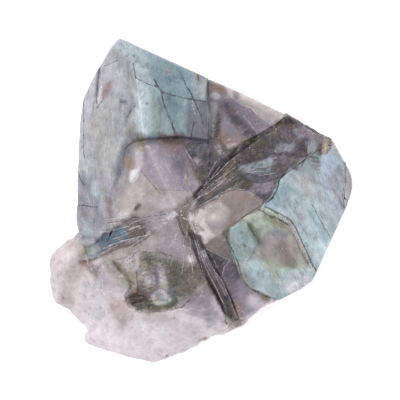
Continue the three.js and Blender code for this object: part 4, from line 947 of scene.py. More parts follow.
# Loose specks and dots on the natural quartz: colour, size and place.
QUARTZ_SPECKS = [
    band("rust", 0.22, [(10, -262)], 0.3, 0.95, 0.05),
    band("rust", 0.14, [(-1, -266)], 0.3, 0.7, 0.05),
    band("clay", 0.1, [(4, -264)], 0.4, 0.5, 0.05),
    band("plum", 0.12, [(-260, -186)], 0.25, 0.85, 0.05),
    band("plum", 0.14, [(-63, -296)], 0.25, 0.9, 0.05),
    band("plum", 0.08, [(-277, -111)], 0.25, 0.6, 0.05),
    band("plum", 0.1, [(-49, -223)], 0.25, 0.6, 0.05),
    band("plum", 0.08, [(-243, -109)], 0.2, 0.5, 0.05),
    band("plum", 0.1, [(-26, 5)], 0.2, 0.5, 0.05),
    band("brown", 0.12, [(-204, -123)], 0.25, 0.8, 0.05),
    band("brown", 0.12, [(-207, -136)], 0.25, 0.7, 0.05),
    band("brown", 0.1, [(-194, -128)], 0.25, 0.6, 0.05),
    band("brown", 0.1, [(-129, -240)], 0.3, 0.4, 0.05),
    band("plum", 0.1, [(-211, -206)], 0.3, 0.35, 0.05),
]

# Every marking, in the order that they lie over each other; each body takes what falls on it.
STONE_MARKS = (
    QUARTZ_MARKS + SEAM_MARKS + NEST_MARKS + LARGE_EMERALD_MARKS
    + HEXAGON_MARKS + BLADE_MARKS + MICA_BLADE_MARKS + QUARTZ_SPECKS
)
STONE_CRACKS = (
    QUARTZ_CRACKS + DARK_SPLINTERS + SEAM_CRACKS + NEST_CRACKS
    + LARGE_EMERALD_CRACKS + HEXAGON_CRACKS + BLADE_CRACKS + MICA_BLADE_CRACKS
)
STONE_GLINTS = (
    QUARTZ_GLINTS + PALE_SPLINTERS + SEAM_GLINTS + NEST_GLINTS
    + LARGE_EMERALD_GLINTS + HEXAGON_GLINTS + BLADE_GLINTS + MICA_BLADE_GLINTS
)


# ---- bodies -----------------------------------------------------------------------------
def placed(name, data):
    """A new object in the scene, at the origin."""
    thing = bpy.data.objects.new(name, data)
    bpy.context.scene.collection.objects.link(thing)
    return thing


def fine_body(node, voxel):
    """An evenly meshed copy of a solid, in millimetres."""
    bm = bmesh.new()
    bm.from_mesh(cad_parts[node].data)
    bmesh.ops.remove_doubles(bm, verts=bm.verts, dist=1e-7)
    bmesh.ops.scale(bm, vec=(1 / MM, 1 / MM, 1 / MM), verts=bm.verts)
    mesh = bpy.data.meshes.new(node + "_coarse")
    bm.to_mesh(mesh)
    bm.free()
    coarse = placed(node + "_coarse", mesh)
    remesh = coarse.modifiers.new("even mesh", "REMESH")
    remesh.mode = "VOXEL"
    remesh.voxel_size = voxel
    scene_state = bpy.context.evaluated_depsgraph_get()
    fine = bpy.data.meshes.new_from_object(coarse.evaluated_get(scene_state))
    bpy.data.objects.remove(coarse)
    return fine


def places_of(mesh):
    flat = np.empty(len(mesh.vertices) * 3)
    mesh.vertices.foreach_get("co", flat)
    return flat.reshape(-1, 3)


def move_to(mesh, places):
    mesh.vertices.foreach_set("co", places.ravel())
    mesh.update()


def outward(mesh):
    """The outward direction at each point."""
    flat = np.empty(len(mesh.vertices) * 3, np.float32)
    mesh.vertex_normals.foreach_get("vector", flat)
    return flat.reshape(-1, 3).astype(float)


def eased(mesh, places, rounds, share=0.5):
    """The places drawn towards the mean of their neighbours, which rounds sharp creases."""
    ends = np.empty(len(mesh.edges) * 2, np.int32)
    mesh.edges.foreach_get("vertices", ends)
    a, b = ends.reshape(-1, 2).T
    count = len(places)
    valence = np.bincount(a, minlength=count) + np.bincount(b, minlength=count)
    for _ in range(rounds):
        mean = np.empty_like(places)
        for axis in range(3):
            total = np.bincount(a, places[b, axis], count) + np.bincount(b, places[a, axis], count)
            mean[:, axis] = total / valence
        places = places + (mean - places) * share
    return places


def surface_tree(mesh, unit=1):
    """A mesh's surface in the given unit, ready to be asked for its nearest point."""
    corners = [vertex.co / unit for vertex in mesh.vertices]
    return BVHTree.FromPolygons(corners, [tuple(face.vertices) for face in mesh.polygons])


def distance_to(neighbours, place, reach):
    """How far a place is from its nearest neighbour, or `reach` where that is farther."""
    ways = [tree.find_nearest(Vector(place), reach)[3] for tree in neighbours]
    return min([reach, *(way for way in ways if way is not None)])


def grown_against(places, neighbours):
    """The places moved so that a body meets the pocket that it has grown in."""
    moved = places.copy()
    for tree in neighbours:
        for i, place in enumerate(places):
            spot, _, _, distance = tree.find_nearest(Vector(place), GAP_REACH)
            if spot is None or distance < 1e-6:
                continue
            share = min(1, (GAP_REACH - distance) / (GAP_REACH - FIT_GAP))
            way = (np.array(spot) - place) / distance
            moved[i] += way * share * (FIT_GAP + TOUCH)
    return moved


def squared(places, normals, own, neighbours):
    """Rounded rims brought back up to the solid's own top where it meets its neighbours."""
    lifted = places.copy()
    for i in np.nonzero(normals[:, 2] > -0.2)[0]:
        place = Vector(places[i])
        above = Vector((place.x, place.y, SKY / MM))
        top = own.ray_cast(above, DOWN)[0]
        if top is None or not 0.005 < top.z - place.z < RIM_DROP:
            continue
        if any(tree.find_nearest(place, GAP_REACH)[0] is not None for tree in neighbours):
            lifted[i, 2] = top.z
    return lifted


def keep_on_shelf(places, level_before):
    """The flat underside stays flat at height 0, and nothing reaches below it."""
    places[:, 2] = np.where(level_before < SHELF_LEVEL, 0, np.maximum(places[:, 2], 0))
    return places


# ---- painting ---------------------------------------------------------------------------
# Clouds of colour on the walls: colour, pitch, how rare it is, and strength.
QUARTZ_TONES = [
    ("cream", 8, -0.15, 0.7),
    ("smoky_pink", 6, 0.05, 0.7),
    ("frost", 5, 0.1, 0.7),
    ("clay", 5, 0.25, 0.6),
    ("smoky", 3.5, 0.3, 0.6),
    ("olive", 3.1, 0.4, 0.5),
    ("mauve", 7, 0.1, 0.6),
]
EMERALD_TONES = [
    ("teal", 8, -0.1, 0.8),
    ("frost_teal", 5, 0.1, 0.8),
    ("deep_teal", 4, 0.2, 0.6),
    ("slate", 3, 0.2, 0.6),
    ("green_teal", 6, 0.15, 0.6),
    ("cream", 4, 0.3, 0.6),
]
MICA_TONES = [
    ("cocoa", 4, 0.0, 0.6),
    ("smoky", 2.4, 0.2, 0.6),
    ("night", 1.8, 0.3, 0.6),
]


def seen_from_above(normals):
    """1 on what faces up, less on walls, 0 underneath."""
    return smooth_step(normals[:, 2], -0.3, 0.35)


def stained_contacts(places, colours, normals, neighbours, tones):
    """Brown and dark stains on the walls where a body meets its neighbours."""
    reach = smooth_step(layered_waves(places, 3.1, 3, 211), -0.5, 0.6) * CONTACT_STAIN + 0.7
    strength = 0.9 * (1 - mask_of(places, NEST_SURROUND, 0))
    tone = smooth_step(layered_waves(places, 4.3, 2, 223), -0.2, 0.2)[:, None]
    stain = COLOURS[tones[0]] + (COLOURS[tones[1]] - COLOURS[tones[0]]) * tone
    for i in np.nonzero(normals[:, 2] < 0.5)[0]:
        way = distance_to(neighbours, places[i], reach[i])
        share = strength[i] * (1 - way / reach[i]) * (1 - max(0, normals[i, 2]) * 2)
        colours[i] += (stain[i] - colours[i]) * share


def weathered(places, colours, share, tones):
    """Clouds of other tones over the walls: colour, pitch, how rare it is, and strength."""
    for k, (colour, pitch, rare, strength) in enumerate(tones):
        cloud = smooth_step(layered_waves(places, pitch, 4, 101 + 13 * k), rare, rare + 0.3)
        colours += (COLOURS[colour] - colours) * (cloud * share * strength)[:, None]


def painted(places, normals, base, wall, tones, marks):
    """Each place's colour: the body's own colour with its stains over it."""
    top = seen_from_above(normals)[:, None]
    colours = COLOURS[wall] + (COLOURS[base] - COLOURS[wall]) * top
    low = smooth_step(POLISH_FOOT + 3 - places[:, 2], 0, 5) * WEATHERED_FOOT
    weathered(places, colours, np.maximum(1 - top[:, 0], low), tones)
    warp = ragged_warp(places, 0)
    flat = places[:, :2]
    for mark in marks:
        near, share = cover(flat, warp, mark)
        share = (share * (0.25 + 0.75 * top[near, 0]))[:, None]
        colours[near] += (COLOURS[mark.colour] - colours[near]) * share
    return colours


def line_ways(places, normals, lines):
    """The way to the nearest line, and that line's half width."""
    ways = np.full((len(places), 3), FAR)
    ways[:, 2] = 0.1
    reached = np.full(len(places), LINE_REACH)
    flat = places[:, :2]
    warp = ragged_warp(places, 90) * LINE_WANDER
    for half, path in lines:
        near = near_box(flat, path, LINE_REACH)
        distance, way = to_path(flat[near] + warp[near], path)
        better = (distance < reached[near]) & (normals[near, 2] > 0.2)
        chosen = near[better]
        reached[chosen] = distance[better]
        ways[chosen, :2] = way[better]
        ways[chosen, 2] = half
    return ways


def mask_of(places, marks, seed=0):
    """Shares from 0 to 1 where any of some marks lies."""
    total = np.zeros(len(places))
    warp = ragged_warp(places, seed)
    for mark in marks:
        near, share = cover(places[:, :2], warp, mark)
        total[near] = np.maximum(total[near], share)
    return total


def store(mesh, name, kind, values):
    attribute = mesh.attributes.new(name, kind, "POINT")
    slot = {"FLOAT": "value", "FLOAT_VECTOR": "vector", "FLOAT_COLOR": "color"}[kind]
    attribute.data.foreach_set(slot, np.ascontiguousarray(values, np.float32).ravel())


def keep_piece(mesh, name):
    """A mesh that is in metres, as a piece that rides on the stone."""
    mesh.name = name
    piece = placed(name, mesh)
    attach(piece, "root")
    return piece


def finished(name, mesh, material, node):
    """A body's mesh as a piece of the stone that stands for one of its solids."""
    move_to(mesh, places_of(mesh) * MM)
    for face in mesh.polygons:
        face.use_smooth = True
    mesh.materials.clear()
    mesh.materials.append(material)
    piece = keep_piece(mesh, name)
    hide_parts(node)
    return piece


def crests(mesh, places):
    """1 on sharp crests, -1 in narrow hollows, 0 where the surface is even."""
    risen = places - eased(mesh, places, CREST_ROUNDS)
    return np.clip(np.sum(risen * outward(mesh), axis=1) / CREST_RISE, -1, 1)


def dress(mesh, places, neighbours, base, wall, tones, finish):
    """Stores what the materials read: the tint, the lines and the finish of each place."""
    normals = outward(mesh)
    colours = painted(places, normals, base, wall, tones, STONE_MARKS)
    stained_contacts(places, colours, normals, neighbours, ("smoky", "cream"))
    relief = crests(mesh, places)
    # Painted light and shade: crests are lightened and narrow hollows darkened in the tint.
    colours *= (1 + np.where(relief > 0, CREST_PAINTED_HIGHLIGHT, HOLLOW_PAINTED_SHADE) * relief)[:, None]
    store(mesh, "tint", "FLOAT_COLOR", np.column_stack([colours, np.ones(len(colours))]))
    store(mesh, "dark_line", "FLOAT_VECTOR", line_ways(places, normals, STONE_CRACKS))
    store(mesh, "bright_line", "FLOAT_VECTOR", line_ways(places, normals, STONE_GLINTS))
    store(mesh, "finish", "FLOAT_VECTOR", finish)


# ---- relief -----------------------------------------------------------------------------
def natural_share(places):
    """1 on natural quartz at the lower left and round the foot, 0 on the polished part."""
    past_middle = -(LOBE_WAY[0] * places[:, 0] + LOBE_WAY[1] * places[:, 1]) - LOBE_START
    lower_left = smooth_step(past_middle, 0, 5)
    foot = smooth_step(POLISH_FOOT - places[:, 2], 0, 3)
    return np.maximum(lower_left, foot)


def broken_relief(places, pitch):
    """Chips and hollows with sharp crests, as broken quartz has."""
    wander = np.stack([waves(places, pitch * 2, 3 * k + 5) for k in range(3)], axis=1)
    folded = 1 - np.abs(layered_waves(places + wander * pitch * 0.4, pitch, 4, 17)) * 2.4
    return np.clip(folded, -1, 1)


def lumpy_quartz(places, normals, broken):
    """How far each place of the quartz stands out of its mean surface."""
    wall = (1 - seen_from_above(normals)) * WALL_RELIEF
    natural = np.maximum(natural_share(places), wall)
    lumps = layered_waves(places, 3.4, 3, 3) * NATURAL_LUMPS
    chips = broken_relief(places, 2.6) * NATURAL_CHIPS
    ledges = stepped(layered_waves(places, 7, 2, 83), 5) * NATURAL_LEDGES
    sugar = layered_waves(places, 0.9, 2, 23) * NATURAL_SUGAR
    polished = layered_waves(places, 7, 2, 41) * POLISH_WANDER
    pits = -smooth_step(layered_waves(places, 1.3, 2, 71), 0.52, 0.8) * PIT_DEPTH
    crushed = broken * (broken_relief(places, 1.1) * BROKEN_RELIEF - 0.05)
    return natural * (lumps + ledges + chips + sugar) + (1 - natural) * (polished + pits) + crushed


def broken_walls(node, places, normals):
    """Broken faces that cut into the unpolished walls, away from the neighbours."""
    wall = smooth_step(-normals[:, 2], -0.35, 0) * smooth_step(WALL_TOP - places[:, 2], 0, 7)
    others = [tree for other, tree in trees.items() if other != node]
    for i in np.nonzero(wall)[0]:
        way = distance_to(others, places[i], APART)
        wall[i] *= max(0, way - GAP_REACH) / (APART - GAP_REACH)
    faces = stepped(layered_waves(places, 9, 3, 97), 3)
    return -wall * WALL_HOLLOWS * np.clip(0.45 + 0.8 * faces, 0, 1)


def streaked(places, along, pitch, stretch, layers=2, seed=0):
    """Waves drawn out along one direction, as growth lines and mica leaves are."""
    along = np.array(along, float) / np.linalg.norm(along)
    run = places @ along
    squeezed = places + np.outer(run * (1 / stretch - 1), along)
    return layered_waves(squeezed, pitch, layers, seed)


def stepped(values, steps):
    """Smooth heights turned into a few ledges with short slopes between them."""
    scaled = values * steps
    floor = np.floor(scaled)
    return (floor + smooth_step(scaled - floor, 0.3, 0.7)) / steps


def leafy_mica(places, along, pitch, height):
    """The ledges of mica leaves that lie on edge and run along one direction."""
    leaves = stepped(streaked(places, along, pitch, 9, 2, 13), 4)
    breaks = stepped(streaked(places, along, pitch * 2.2, 2.5, 2, 19), 3)
    return height * (0.7 * leaves + 0.5 * breaks) + 0.25 * height * waves(places, 0.5, 29)


def crumbly(places, pitch, height):
    """Rounded grains with hollows between them."""
    wander = np.stack([waves(places, pitch, 3 * k + 61) for k in range(3)], axis=1)
    grains = np.abs(layered_waves(places + wander * pitch * 0.5, pitch, 2, 67)) ** 0.9
    return height * (1.4 * grains - 0.6)


# ---- the pieces -------------------------------------------------------------------------
def raised_by(mesh, heights):
    places = places_of(mesh)
    level = places[:, 2].copy()
    places = places + outward(mesh) * heights[:, None]
    move_to(mesh, keep_on_shelf(places, level))


def lifted_by(mesh, rise):
    """The upward faces moved straight up, so that a rim isn't pulled away from its wall."""
    places = places_of(mesh)
    places[:, 2] += rise * seen_from_above(outward(mesh))
    move_to(mesh, places)


def raw_share(places, normals):
    """1 where the stone is as it was found: on the lower left, round the foot, on walls."""
    return np.maximum(natural_share(places), 1 - seen_from_above(normals))


def share_of_mica(places):
    """1 on mica and on the quartz that is full of it, less on the nest's pale grains."""
    grains = mask_of(places, NEST_GRAINS, 0)
    return mask_of(places, SEAM_GROUND + BLADES_GROUND + NEST_GROUND, 0) * (1 - 0.8 * grains)


def sunk_rim(places):
    """How far quartz sinks, and the nest rises, so that they meet raggedly."""
    return mask_of(places, NEST_SURROUND, 0) * NEST_RIM


def make_quartz(material):
    mesh = fine_body("quartz_matrix", QUARTZ_VOXEL)
    places = places_of(mesh)
    level = places[:, 2].copy()
    places = eased(mesh, places, CREST_EASE)
    neighbours = [tree for node, tree in trees.items() if node != "quartz_matrix"]
    places = squared(places, outward(mesh), trees["quartz_matrix"], neighbours)
    move_to(mesh, keep_on_shelf(places, level))
    places = places_of(mesh)
    broken = mask_of(places, BROKEN_QUARTZ, 5) * seen_from_above(outward(mesh))
    heights = lumpy_quartz(places, outward(mesh), broken)
    nest_grains = crumbly(places, pitch=1.3, height=0.24) * mask_of(places, NEST_GROUND, 0)
    heights += seen_from_above(outward(mesh)) * nest_grains
    heights += broken_walls("quartz_matrix", places, outward(mesh))
    raised_by(mesh, heights)
    lifted_by(mesh, -sunk_rim(places))
    places = places_of(mesh)
    natural = np.maximum(raw_share(places, outward(mesh)), broken)
    flecks = mask_of(places, FLECKED_QUARTZ, 7)
    finish = np.column_stack([natural, flecks, share_of_mica(places)])
    dress(mesh, places, neighbours, "pink_milk", "pink_milk", QUARTZ_TONES, finish)
    return finished("milky_quartz", mesh, material, "quartz_matrix")


def make_body(name, node, voxel, against, relief, paint, material, ease=2, rise=0):
    """A crystal or mica body, grown against its neighbours, with relief(places) on it."""
    mesh = fine_body(node, voxel)
    neighbours = [trees[other] for other in against]
    places = eased(mesh, places_of(mesh), ease)
    places = squared(places, outward(mesh), trees[node], neighbours)
    move_to(mesh, grown_against(places, neighbours))
    places = places_of(mesh)
    raised_by(mesh, relief(places) + broken_walls(node, places, outward(mesh)))
    lifted_by(mesh, rise)
    places = places_of(mesh)
    raw = raw_share(places, outward(mesh))
    parts = [raw, mask_of(places, FLECKED_QUARTZ, 7), share_of_mica(places)]
    dress(mesh, places, neighbours, *paint, np.column_stack(parts))
    return finished(name, mesh, material, node)


def foot_chips(places):
    """Small chips and ledges on the unpolished walls of a crystal."""
    low = smooth_step(WALL_FOOT - places[:, 2], 0, 6)
    ledges = stepped(layered_waves(places, 5, 2, 87), 4) * 0.35
    return low * (ledges + broken_relief(places, 3.2) * 0.12)


def large_crystal_relief(places):
    lines = streaked(places, PRISM_AXIS, 0.55, 14, 2, 7) * STRIATION_HEIGHT
    return lines + layered_waves(places, 5, 2, 43) * POLISH_WANDER + foot_chips(places)


def hexagon_relief(places):
    lines = streaked(places, HEXAGON_EDGE, 0.6, 10, 2, 9) * STRIATION_HEIGHT
    return lines + layered_waves(places, 4, 2, 53) * POLISH_WANDER + foot_chips(places)


def blade_relief(places):
    return streaked(places, SMALL_BLADE_WAY, 0.5, 7, 2, 15) * 0.06


def seam_relief(places):
    return leafy_mica(places, SEAM_WAY, pitch=0.9, height=0.28)


def mica_blade_relief(places):
    return leafy_mica(places, MICA_BLADE_WAY, pitch=0.7, height=0.2)


def nest_relief(places):
    return crumbly(places, pitch=1.3, height=0.26)


# ---- finishes ---------------------------------------------------------------------------
class Nodes:
    """A node tree under way, and the steps that finishes and recipes share."""

    def add(self, kind, inputs=None, **settings):
        """A new node; each of its inputs is a value or another node's output."""
        node = self.tree.nodes.new(kind)
        for name, value in settings.items():
            setattr(node, name, value)
        for key, value in (inputs or {}).items():
            if isinstance(value, bpy.types.NodeSocket):
                self.tree.links.new(value, node.inputs[key])
            else:
                node.inputs[key].default_value = value
        return node

    def made(self, kind, inputs=None, **settings):
        """What a new node gives first."""
        return self.add(kind, inputs, **settings).outputs[0]

    def maths(self, operation, first, second=0.5):
        return self.made("ShaderNodeMath", {0: first, 1: second}, operation=operation)

    def times(self, *values):
        product = values[0]
        for value in values[1:]:
            product = self.maths("MULTIPLY", product, value)
        return product

    def scaled(self, vector, size):
        return self.made("ShaderNodeVectorMath", {0: vector, "Scale": size}, operation="SCALE")


class Finish(Nodes):
    """A material under way: its colour so far, and the steps that lay more over it."""

    def __init__(self, name):
        self.material = bpy.data.materials.new(name)
        self.material.use_nodes = True
        self.tree = self.material.node_tree
        self.tree.nodes.clear()
        self.place = self.scaled(self.add("ShaderNodeTexCoord").outputs["Object"], 1 / MM)

    def stored(self, name, output):
        return self.add("ShaderNodeAttribute", attribute_name=name).outputs[output]

    def parts(self, vector):
        return self.add("ShaderNodeSeparateXYZ", {0: vector}).outputs

    def dressed(self):
        """Starts from the stored tint; how raw, how flecked and how full of mica each place is."""
        self.colour = self.stored("tint", "Color")
        return self.parts(self.stored("finish", "Vector"))

    def turned(self, angle, stretch):
        """The place in a frame turned by `angle` degrees and drawn out along its first axis."""
        turn = (0, 0, math.radians(angle))
        inputs = {"Vector": self.place, "Rotation": turn, "Scale": (stretch, 1, 1)}
        return self.made("ShaderNodeMapping", inputs, vector_type="TEXTURE")

    def noise(self, pitch, detail=2, place=None, rough=0.5, wander=0, output="Fac"):
        inputs = {"Vector": place or self.place, "Scale": 1 / pitch}
        inputs.update({"Detail": detail, "Roughness": rough, "Distortion": wander})
        return self.add("ShaderNodeTexNoise", inputs).outputs[output]

    def warped(self, pitch, amount):
        """The place pushed about by noise, so that cell rims run crookedly."""
        push = self.scaled(self.noise(pitch, output="Color"), amount)
        return self.made("ShaderNodeVectorMath", {0: self.place, 1: push}, operation="ADD")

    def cells(self, pitch, output="Distance", feature="F1", place=None):
        inputs = {"Vector": place or self.place, "Scale": 1 / pitch}
        return self.add("ShaderNodeTexVoronoi", inputs, feature=feature).outputs[output]

    def ramp(self, value, low, high, bottom=0, top=1):
        ends = {"From Min": low, "From Max": high, "To Min": bottom, "To Max": top}
        return self.made("ShaderNodeMapRange", {"Value": value, **ends}, interpolation_type="SMOOTHSTEP")

    def clouds(self, pitch, detail, low, high, top=1, place=None, rough=0.5, wander=0):
        """Soft patches between 0 and `top`."""
        return self.ramp(self.noise(pitch, detail, place, rough, wander), low, high, 0, top)

    def spots(self, pitch, size, rim):
        """1 in round spots, one to a cell."""
        return self.ramp(self.cells(pitch), size, rim, 1, 0)

    def net(self, pitch, width, *wander):
        """1 on a net of thin crooked lines."""
        rims = self.cells(pitch, feature="DISTANCE_TO_EDGE", place=self.warped(*wander))
        return self.ramp(rims, 0, width, 1, 0)

    def raised(self, value, factor, base):
        """`value` times `factor`, on top of `base`."""
        return self.maths("ADD", self.times(value, factor), base)

    def mix(self, under, over, share, mode="MIX"):
        inputs = {0: share, 6: under, 7: over}
        return self.add("ShaderNodeMix", inputs, data_type="RGBA", blend_type=mode).outputs[2]

    def stain(self, tone, *shares):
        """Lays a colour of the palette over the colour so far."""
        self.colour = self.mix(self.colour, solid_colour(tone), self.times(*shares))

    def shadow(self, light, *shares):
        """Makes the colour so far lighter and darker."""
        self.colour = self.mix(self.colour, light, self.times(*shares), "MULTIPLY")

    def line(self, name, soft):
        """1 on the lines stored under `name`: crooked, now thick and now thin, with breaks."""
        x, y, half = self.parts(self.stored(name, "Vector"))
        jog = self.parts(self.noise(0.45, 3, rough=0.6, output="Color"))
        x = self.maths("ADD", x, self.ramp(jog[0], 0.3, 0.7, -LINE_JOG, LINE_JOG))
        y = self.maths("ADD", y, self.ramp(jog[1], 0.3, 0.7, -LINE_JOG, LINE_JOG))
        distance = self.maths("SQRT", self.maths("ADD", self.times(x, x), self.times(y, y)))
        swell = self.ramp(self.noise(0.9, 2), 0.34, 0.66, 0.7, 1.4)
        widths = self.maths("DIVIDE", distance, self.times(half, swell))
        strength = self.ramp(self.noise(1.3, 2, rough=0.6), 0.34, 0.52, 0.5, 1)
        return self.times(self.ramp(widths, 1 - soft, 1 + soft, 1, 0), strength)

    def bump(self, height, depth):
        return self.made("ShaderNodeBump", {"Height": height, "Distance": depth * MM, "Strength": 1})

    def shade(self, roughness, normal, **plain):
        """Closes the material; `plain` values are the same all over it."""
        inputs = {"Base Color": self.colour, "Roughness": roughness, "Normal": normal}
        inputs.update({name.replace("_", " "): value for name, value in plain.items()})
        surface = self.made("ShaderNodeBsdfPrincipled", inputs)
        self.add("ShaderNodeOutputMaterial", {"Surface": surface})
        return self.material


def solid_colour(name):
    return (*COLOURS[name], 1)


def quartz_finish():
    """Milky quartz: clouds, veils and healed cracks, glossy where it is polished."""
    work = Finish("milky quartz")
    natural, flecks, mica = work.dressed()
    polished = work.ramp(natural, 0, 1, 1, 0.3)
    clouds = work.ramp(work.noise(2.3, 5, rough=0.6), 0.34, 0.66, 0.84, 1.15)
    work.shadow(clouds, work.raised(polished, 0.7, 0.1))
    grown = work.cells(4.6, "Color", place=work.warped(2.2, 2.4))
    work.shadow(work.ramp(work.parts(grown)[0], 0, 1, 0.94, 1.05), natural, 0.9)
    work.stain("clay", work.clouds(3.1, 3, 0.5, 0.68, 0.22), polished)
    wisps = work.clouds(0.9, 4, 0.5, 0.7, 0.4, work.turned(50, 4), 0.7, 1.2)
    work.stain("lilac", wisps, polished)
    work.stain("white", work.clouds(0.8, 5, 0.55, 0.74, 0.3, rough=0.7))
    work.stain("white", work.clouds(0.7, 3, 0.57, 0.75, 0.2, work.turned(38, 7), 0.6))
    healed = work.clouds(2.6, 2, 0.42, 0.6, 0.45)
    work.stain("white", work.net(3.4, 0.04, 1.4, 1.6), healed, natural)
    dirty = work.clouds(2.1, 2, 0.5, 0.62)
    work.stain("smoky", work.net(2.3, 0.028, 0.9, 1.9), dirty, polished, 0.6)
    sugar = work.noise(0.3, 4, rough=0.75)
    work.shadow(work.ramp(sugar, 0.32, 0.68, 0.76, 1.18), work.raised(polished, 0.36, 0.02))
    work.shadow(work.ramp(work.noise(0.4, 5, rough=0.75), 0.34, 0.66, 0.55, 1.4), mica)
    crowd = work.clouds(1.3, 3, 0.42, 0.6)
    work.stain("mica_green", work.spots(0.62, 0.16, 0.34), crowd, flecks, 0.85)
    work.stain("mica", work.line("dark_line", 0.7), 0.8)
    work.stain("white", work.line("bright_line", 0.8), 0.45)
    return work.shade(
        work.raised(natural, 0.25, work.ramp(sugar, 0.3, 0.7, 0.26, 0.4)),
        work.bump(work.times(sugar, work.raised(natural, 0.5, 0.12)), 0.09),
        Subsurface_Weight=0.2,
        Subsurface_Scale=0.5 * MM,
        Subsurface_Radius=(1.0, 0.85, 0.9),
        IOR=1.54,
    )


def emerald_finish(name, angle, streaks):
    """Polished beryl with growth lines along `angle` degrees and a net of fine cracks."""
    work = Finish(name)
    natural = work.dressed()[0]
    along = work.turned(angle, 7)
    grain = work.noise(0.45, 4, along, 0.7, 1.4)
    work.shadow(work.ramp(grain, 0.34, 0.66, 0.8, 1.18), streaks)
    smoke = work.turned(angle - 9, 2.5)
    work.stain("slate", work.clouds(1.6, 5, 0.53, 0.66, 0.4, smoke, 0.65, 1.6))
    wisps = work.clouds(0.8, 4, 0.54, 0.68, 0.5, work.turned(angle + 7, 4), 0.7, 2.0)
    work.stain("slate", wisps, work.clouds(3.2, 3, 0.46, 0.6))
    work.stain("mint", work.clouds(0.6, 4, 0.56, 0.74, 0.35, along, 0.65))
    work.shadow(work.ramp(work.noise(1.5, 5, rough=0.75), 0.34, 0.66, 0.78, 1.18), 0.8)
    work.stain("cream", work.clouds(2.7, 3, 0.57, 0.7, 0.3, work.turned(angle, 2), 0.6))
    work.stain("white", work.clouds(0.7, 5, 0.58, 0.76, 0.35, rough=0.75))
    some = work.clouds(1.9, 3, 0.5, 0.62)
    work.stain("slate", work.net(2.4, 0.035, 1.1, 1.5), some, 0.45)
    broken = work.clouds(3.1, 3, 0.42, 0.6)
    work.stain("brown", work.net(6.5, 0.02, 1.6, 1.2), natural, broken, 0.55)
    work.stain("smoky", work.clouds(3.4, 5, 0.52, 0.68, 0.5, rough=0.7), natural)
    few = work.clouds(2.2, 2, 0.48, 0.6)
    work.stain("mica", work.spots(0.9, 0.06, 0.16), few, 0.6)
    work.stain("night", work.line("dark_line", 0.6), 0.8)
    work.stain("milk", work.line("bright_line", 0.8), 0.7)
    fine = work.noise(0.3, 4, along, 0.7)
    return work.shade(
        work.raised(natural, 0.3, work.ramp(fine, 0.3, 0.7, 0.24, 0.4)),
        work.bump(fine, 0.03),
        Subsurface_Weight=0.1,
        Subsurface_Scale=0.4 * MM,
        Subsurface_Radius=(0.8, 1.0, 1.0),
        IOR=1.58,
    )


def mica_finish(name, angle, fine=0.4):
    """Mica leaves on edge along `angle` degrees, from near black to silvery."""
    work = Finish(name)
    flecks, mica = work.dressed()[1:]
    amount = work.ramp(mica, 0.1, 0.8, 0.35, 1)
    along = work.turned(angle, 5)
    leaves = work.noise(fine, 5, along, 0.75, 0.8)
    work.shadow(work.ramp(leaves, 0.32, 0.68, 0.55, 1.4), amount, 0.9)
    cells = work.parts(work.cells(0.6, "Color", place=along))
    work.shadow(work.ramp(cells[0], 0, 1, 0.75, 1.2), amount, 0.7)
    wide = work.turned(angle, 2)
    work.stain("night", work.clouds(0.7, 4, 0.54, 0.68, 0.6, wide, 0.75), amount)
    work.stain("frost", work.clouds(0.34, 4, 0.58, 0.72, 0.4, wide, 0.75), amount)
    work.stain("olive", work.clouds(1.7, 3, 0.53, 0.66, 0.4, rough=0.6), amount)
    work.stain("rose_mauve", work.clouds(1.4, 3, 0.56, 0.7, 0.4, wide, 0.6), amount)
    crowd = work.clouds(1.3, 3, 0.42, 0.56)
    for tone, pitch, share in (("deep_olive", 0.62, 0.8), ("cream", 0.47, 0.35)):
        work.stain(tone, work.spots(pitch, 0.16, 0.36), crowd, flecks, share)
    work.stain("night", work.line("dark_line", 0.7), 0.85)
    work.stain("milk", work.line("bright_line", 0.8), 0.5)
    return work.shade(work.ramp(cells[1], 0, 1, 0.25, 0.55), work.bump(leaves, 0.08), IOR=1.6)


def flake_finish(name, dull, bright):
    """Loose leaves and grains, some dull and some catching the light."""
    work = Finish(name)
    share = work.clouds(0.6, 2, 0.42, 0.62)
    work.colour = work.mix(solid_colour(dull), solid_colour(bright), share)
    fine = work.noise(0.2, 2)
    return work.shade(work.ramp(fine, 0.3, 0.7, 0.12, 0.4), work.bump(fine, 0.02), IOR=1.58)


def floor_finish():
    work = Finish("pale floor")
    speckle = work.clouds(14, 3, 0.3, 0.7)
    work.colour = work.mix((0.93, 0.93, 0.93, 1), (0.95, 0.95, 0.95, 1), speckle)
    glow = {"Emission Color": (1, 1, 1, 1), "Emission Strength": FLOOR_GLOW}
    return work.shade(0.8, work.bump(speckle, 0.01), **glow, IOR=1.4)


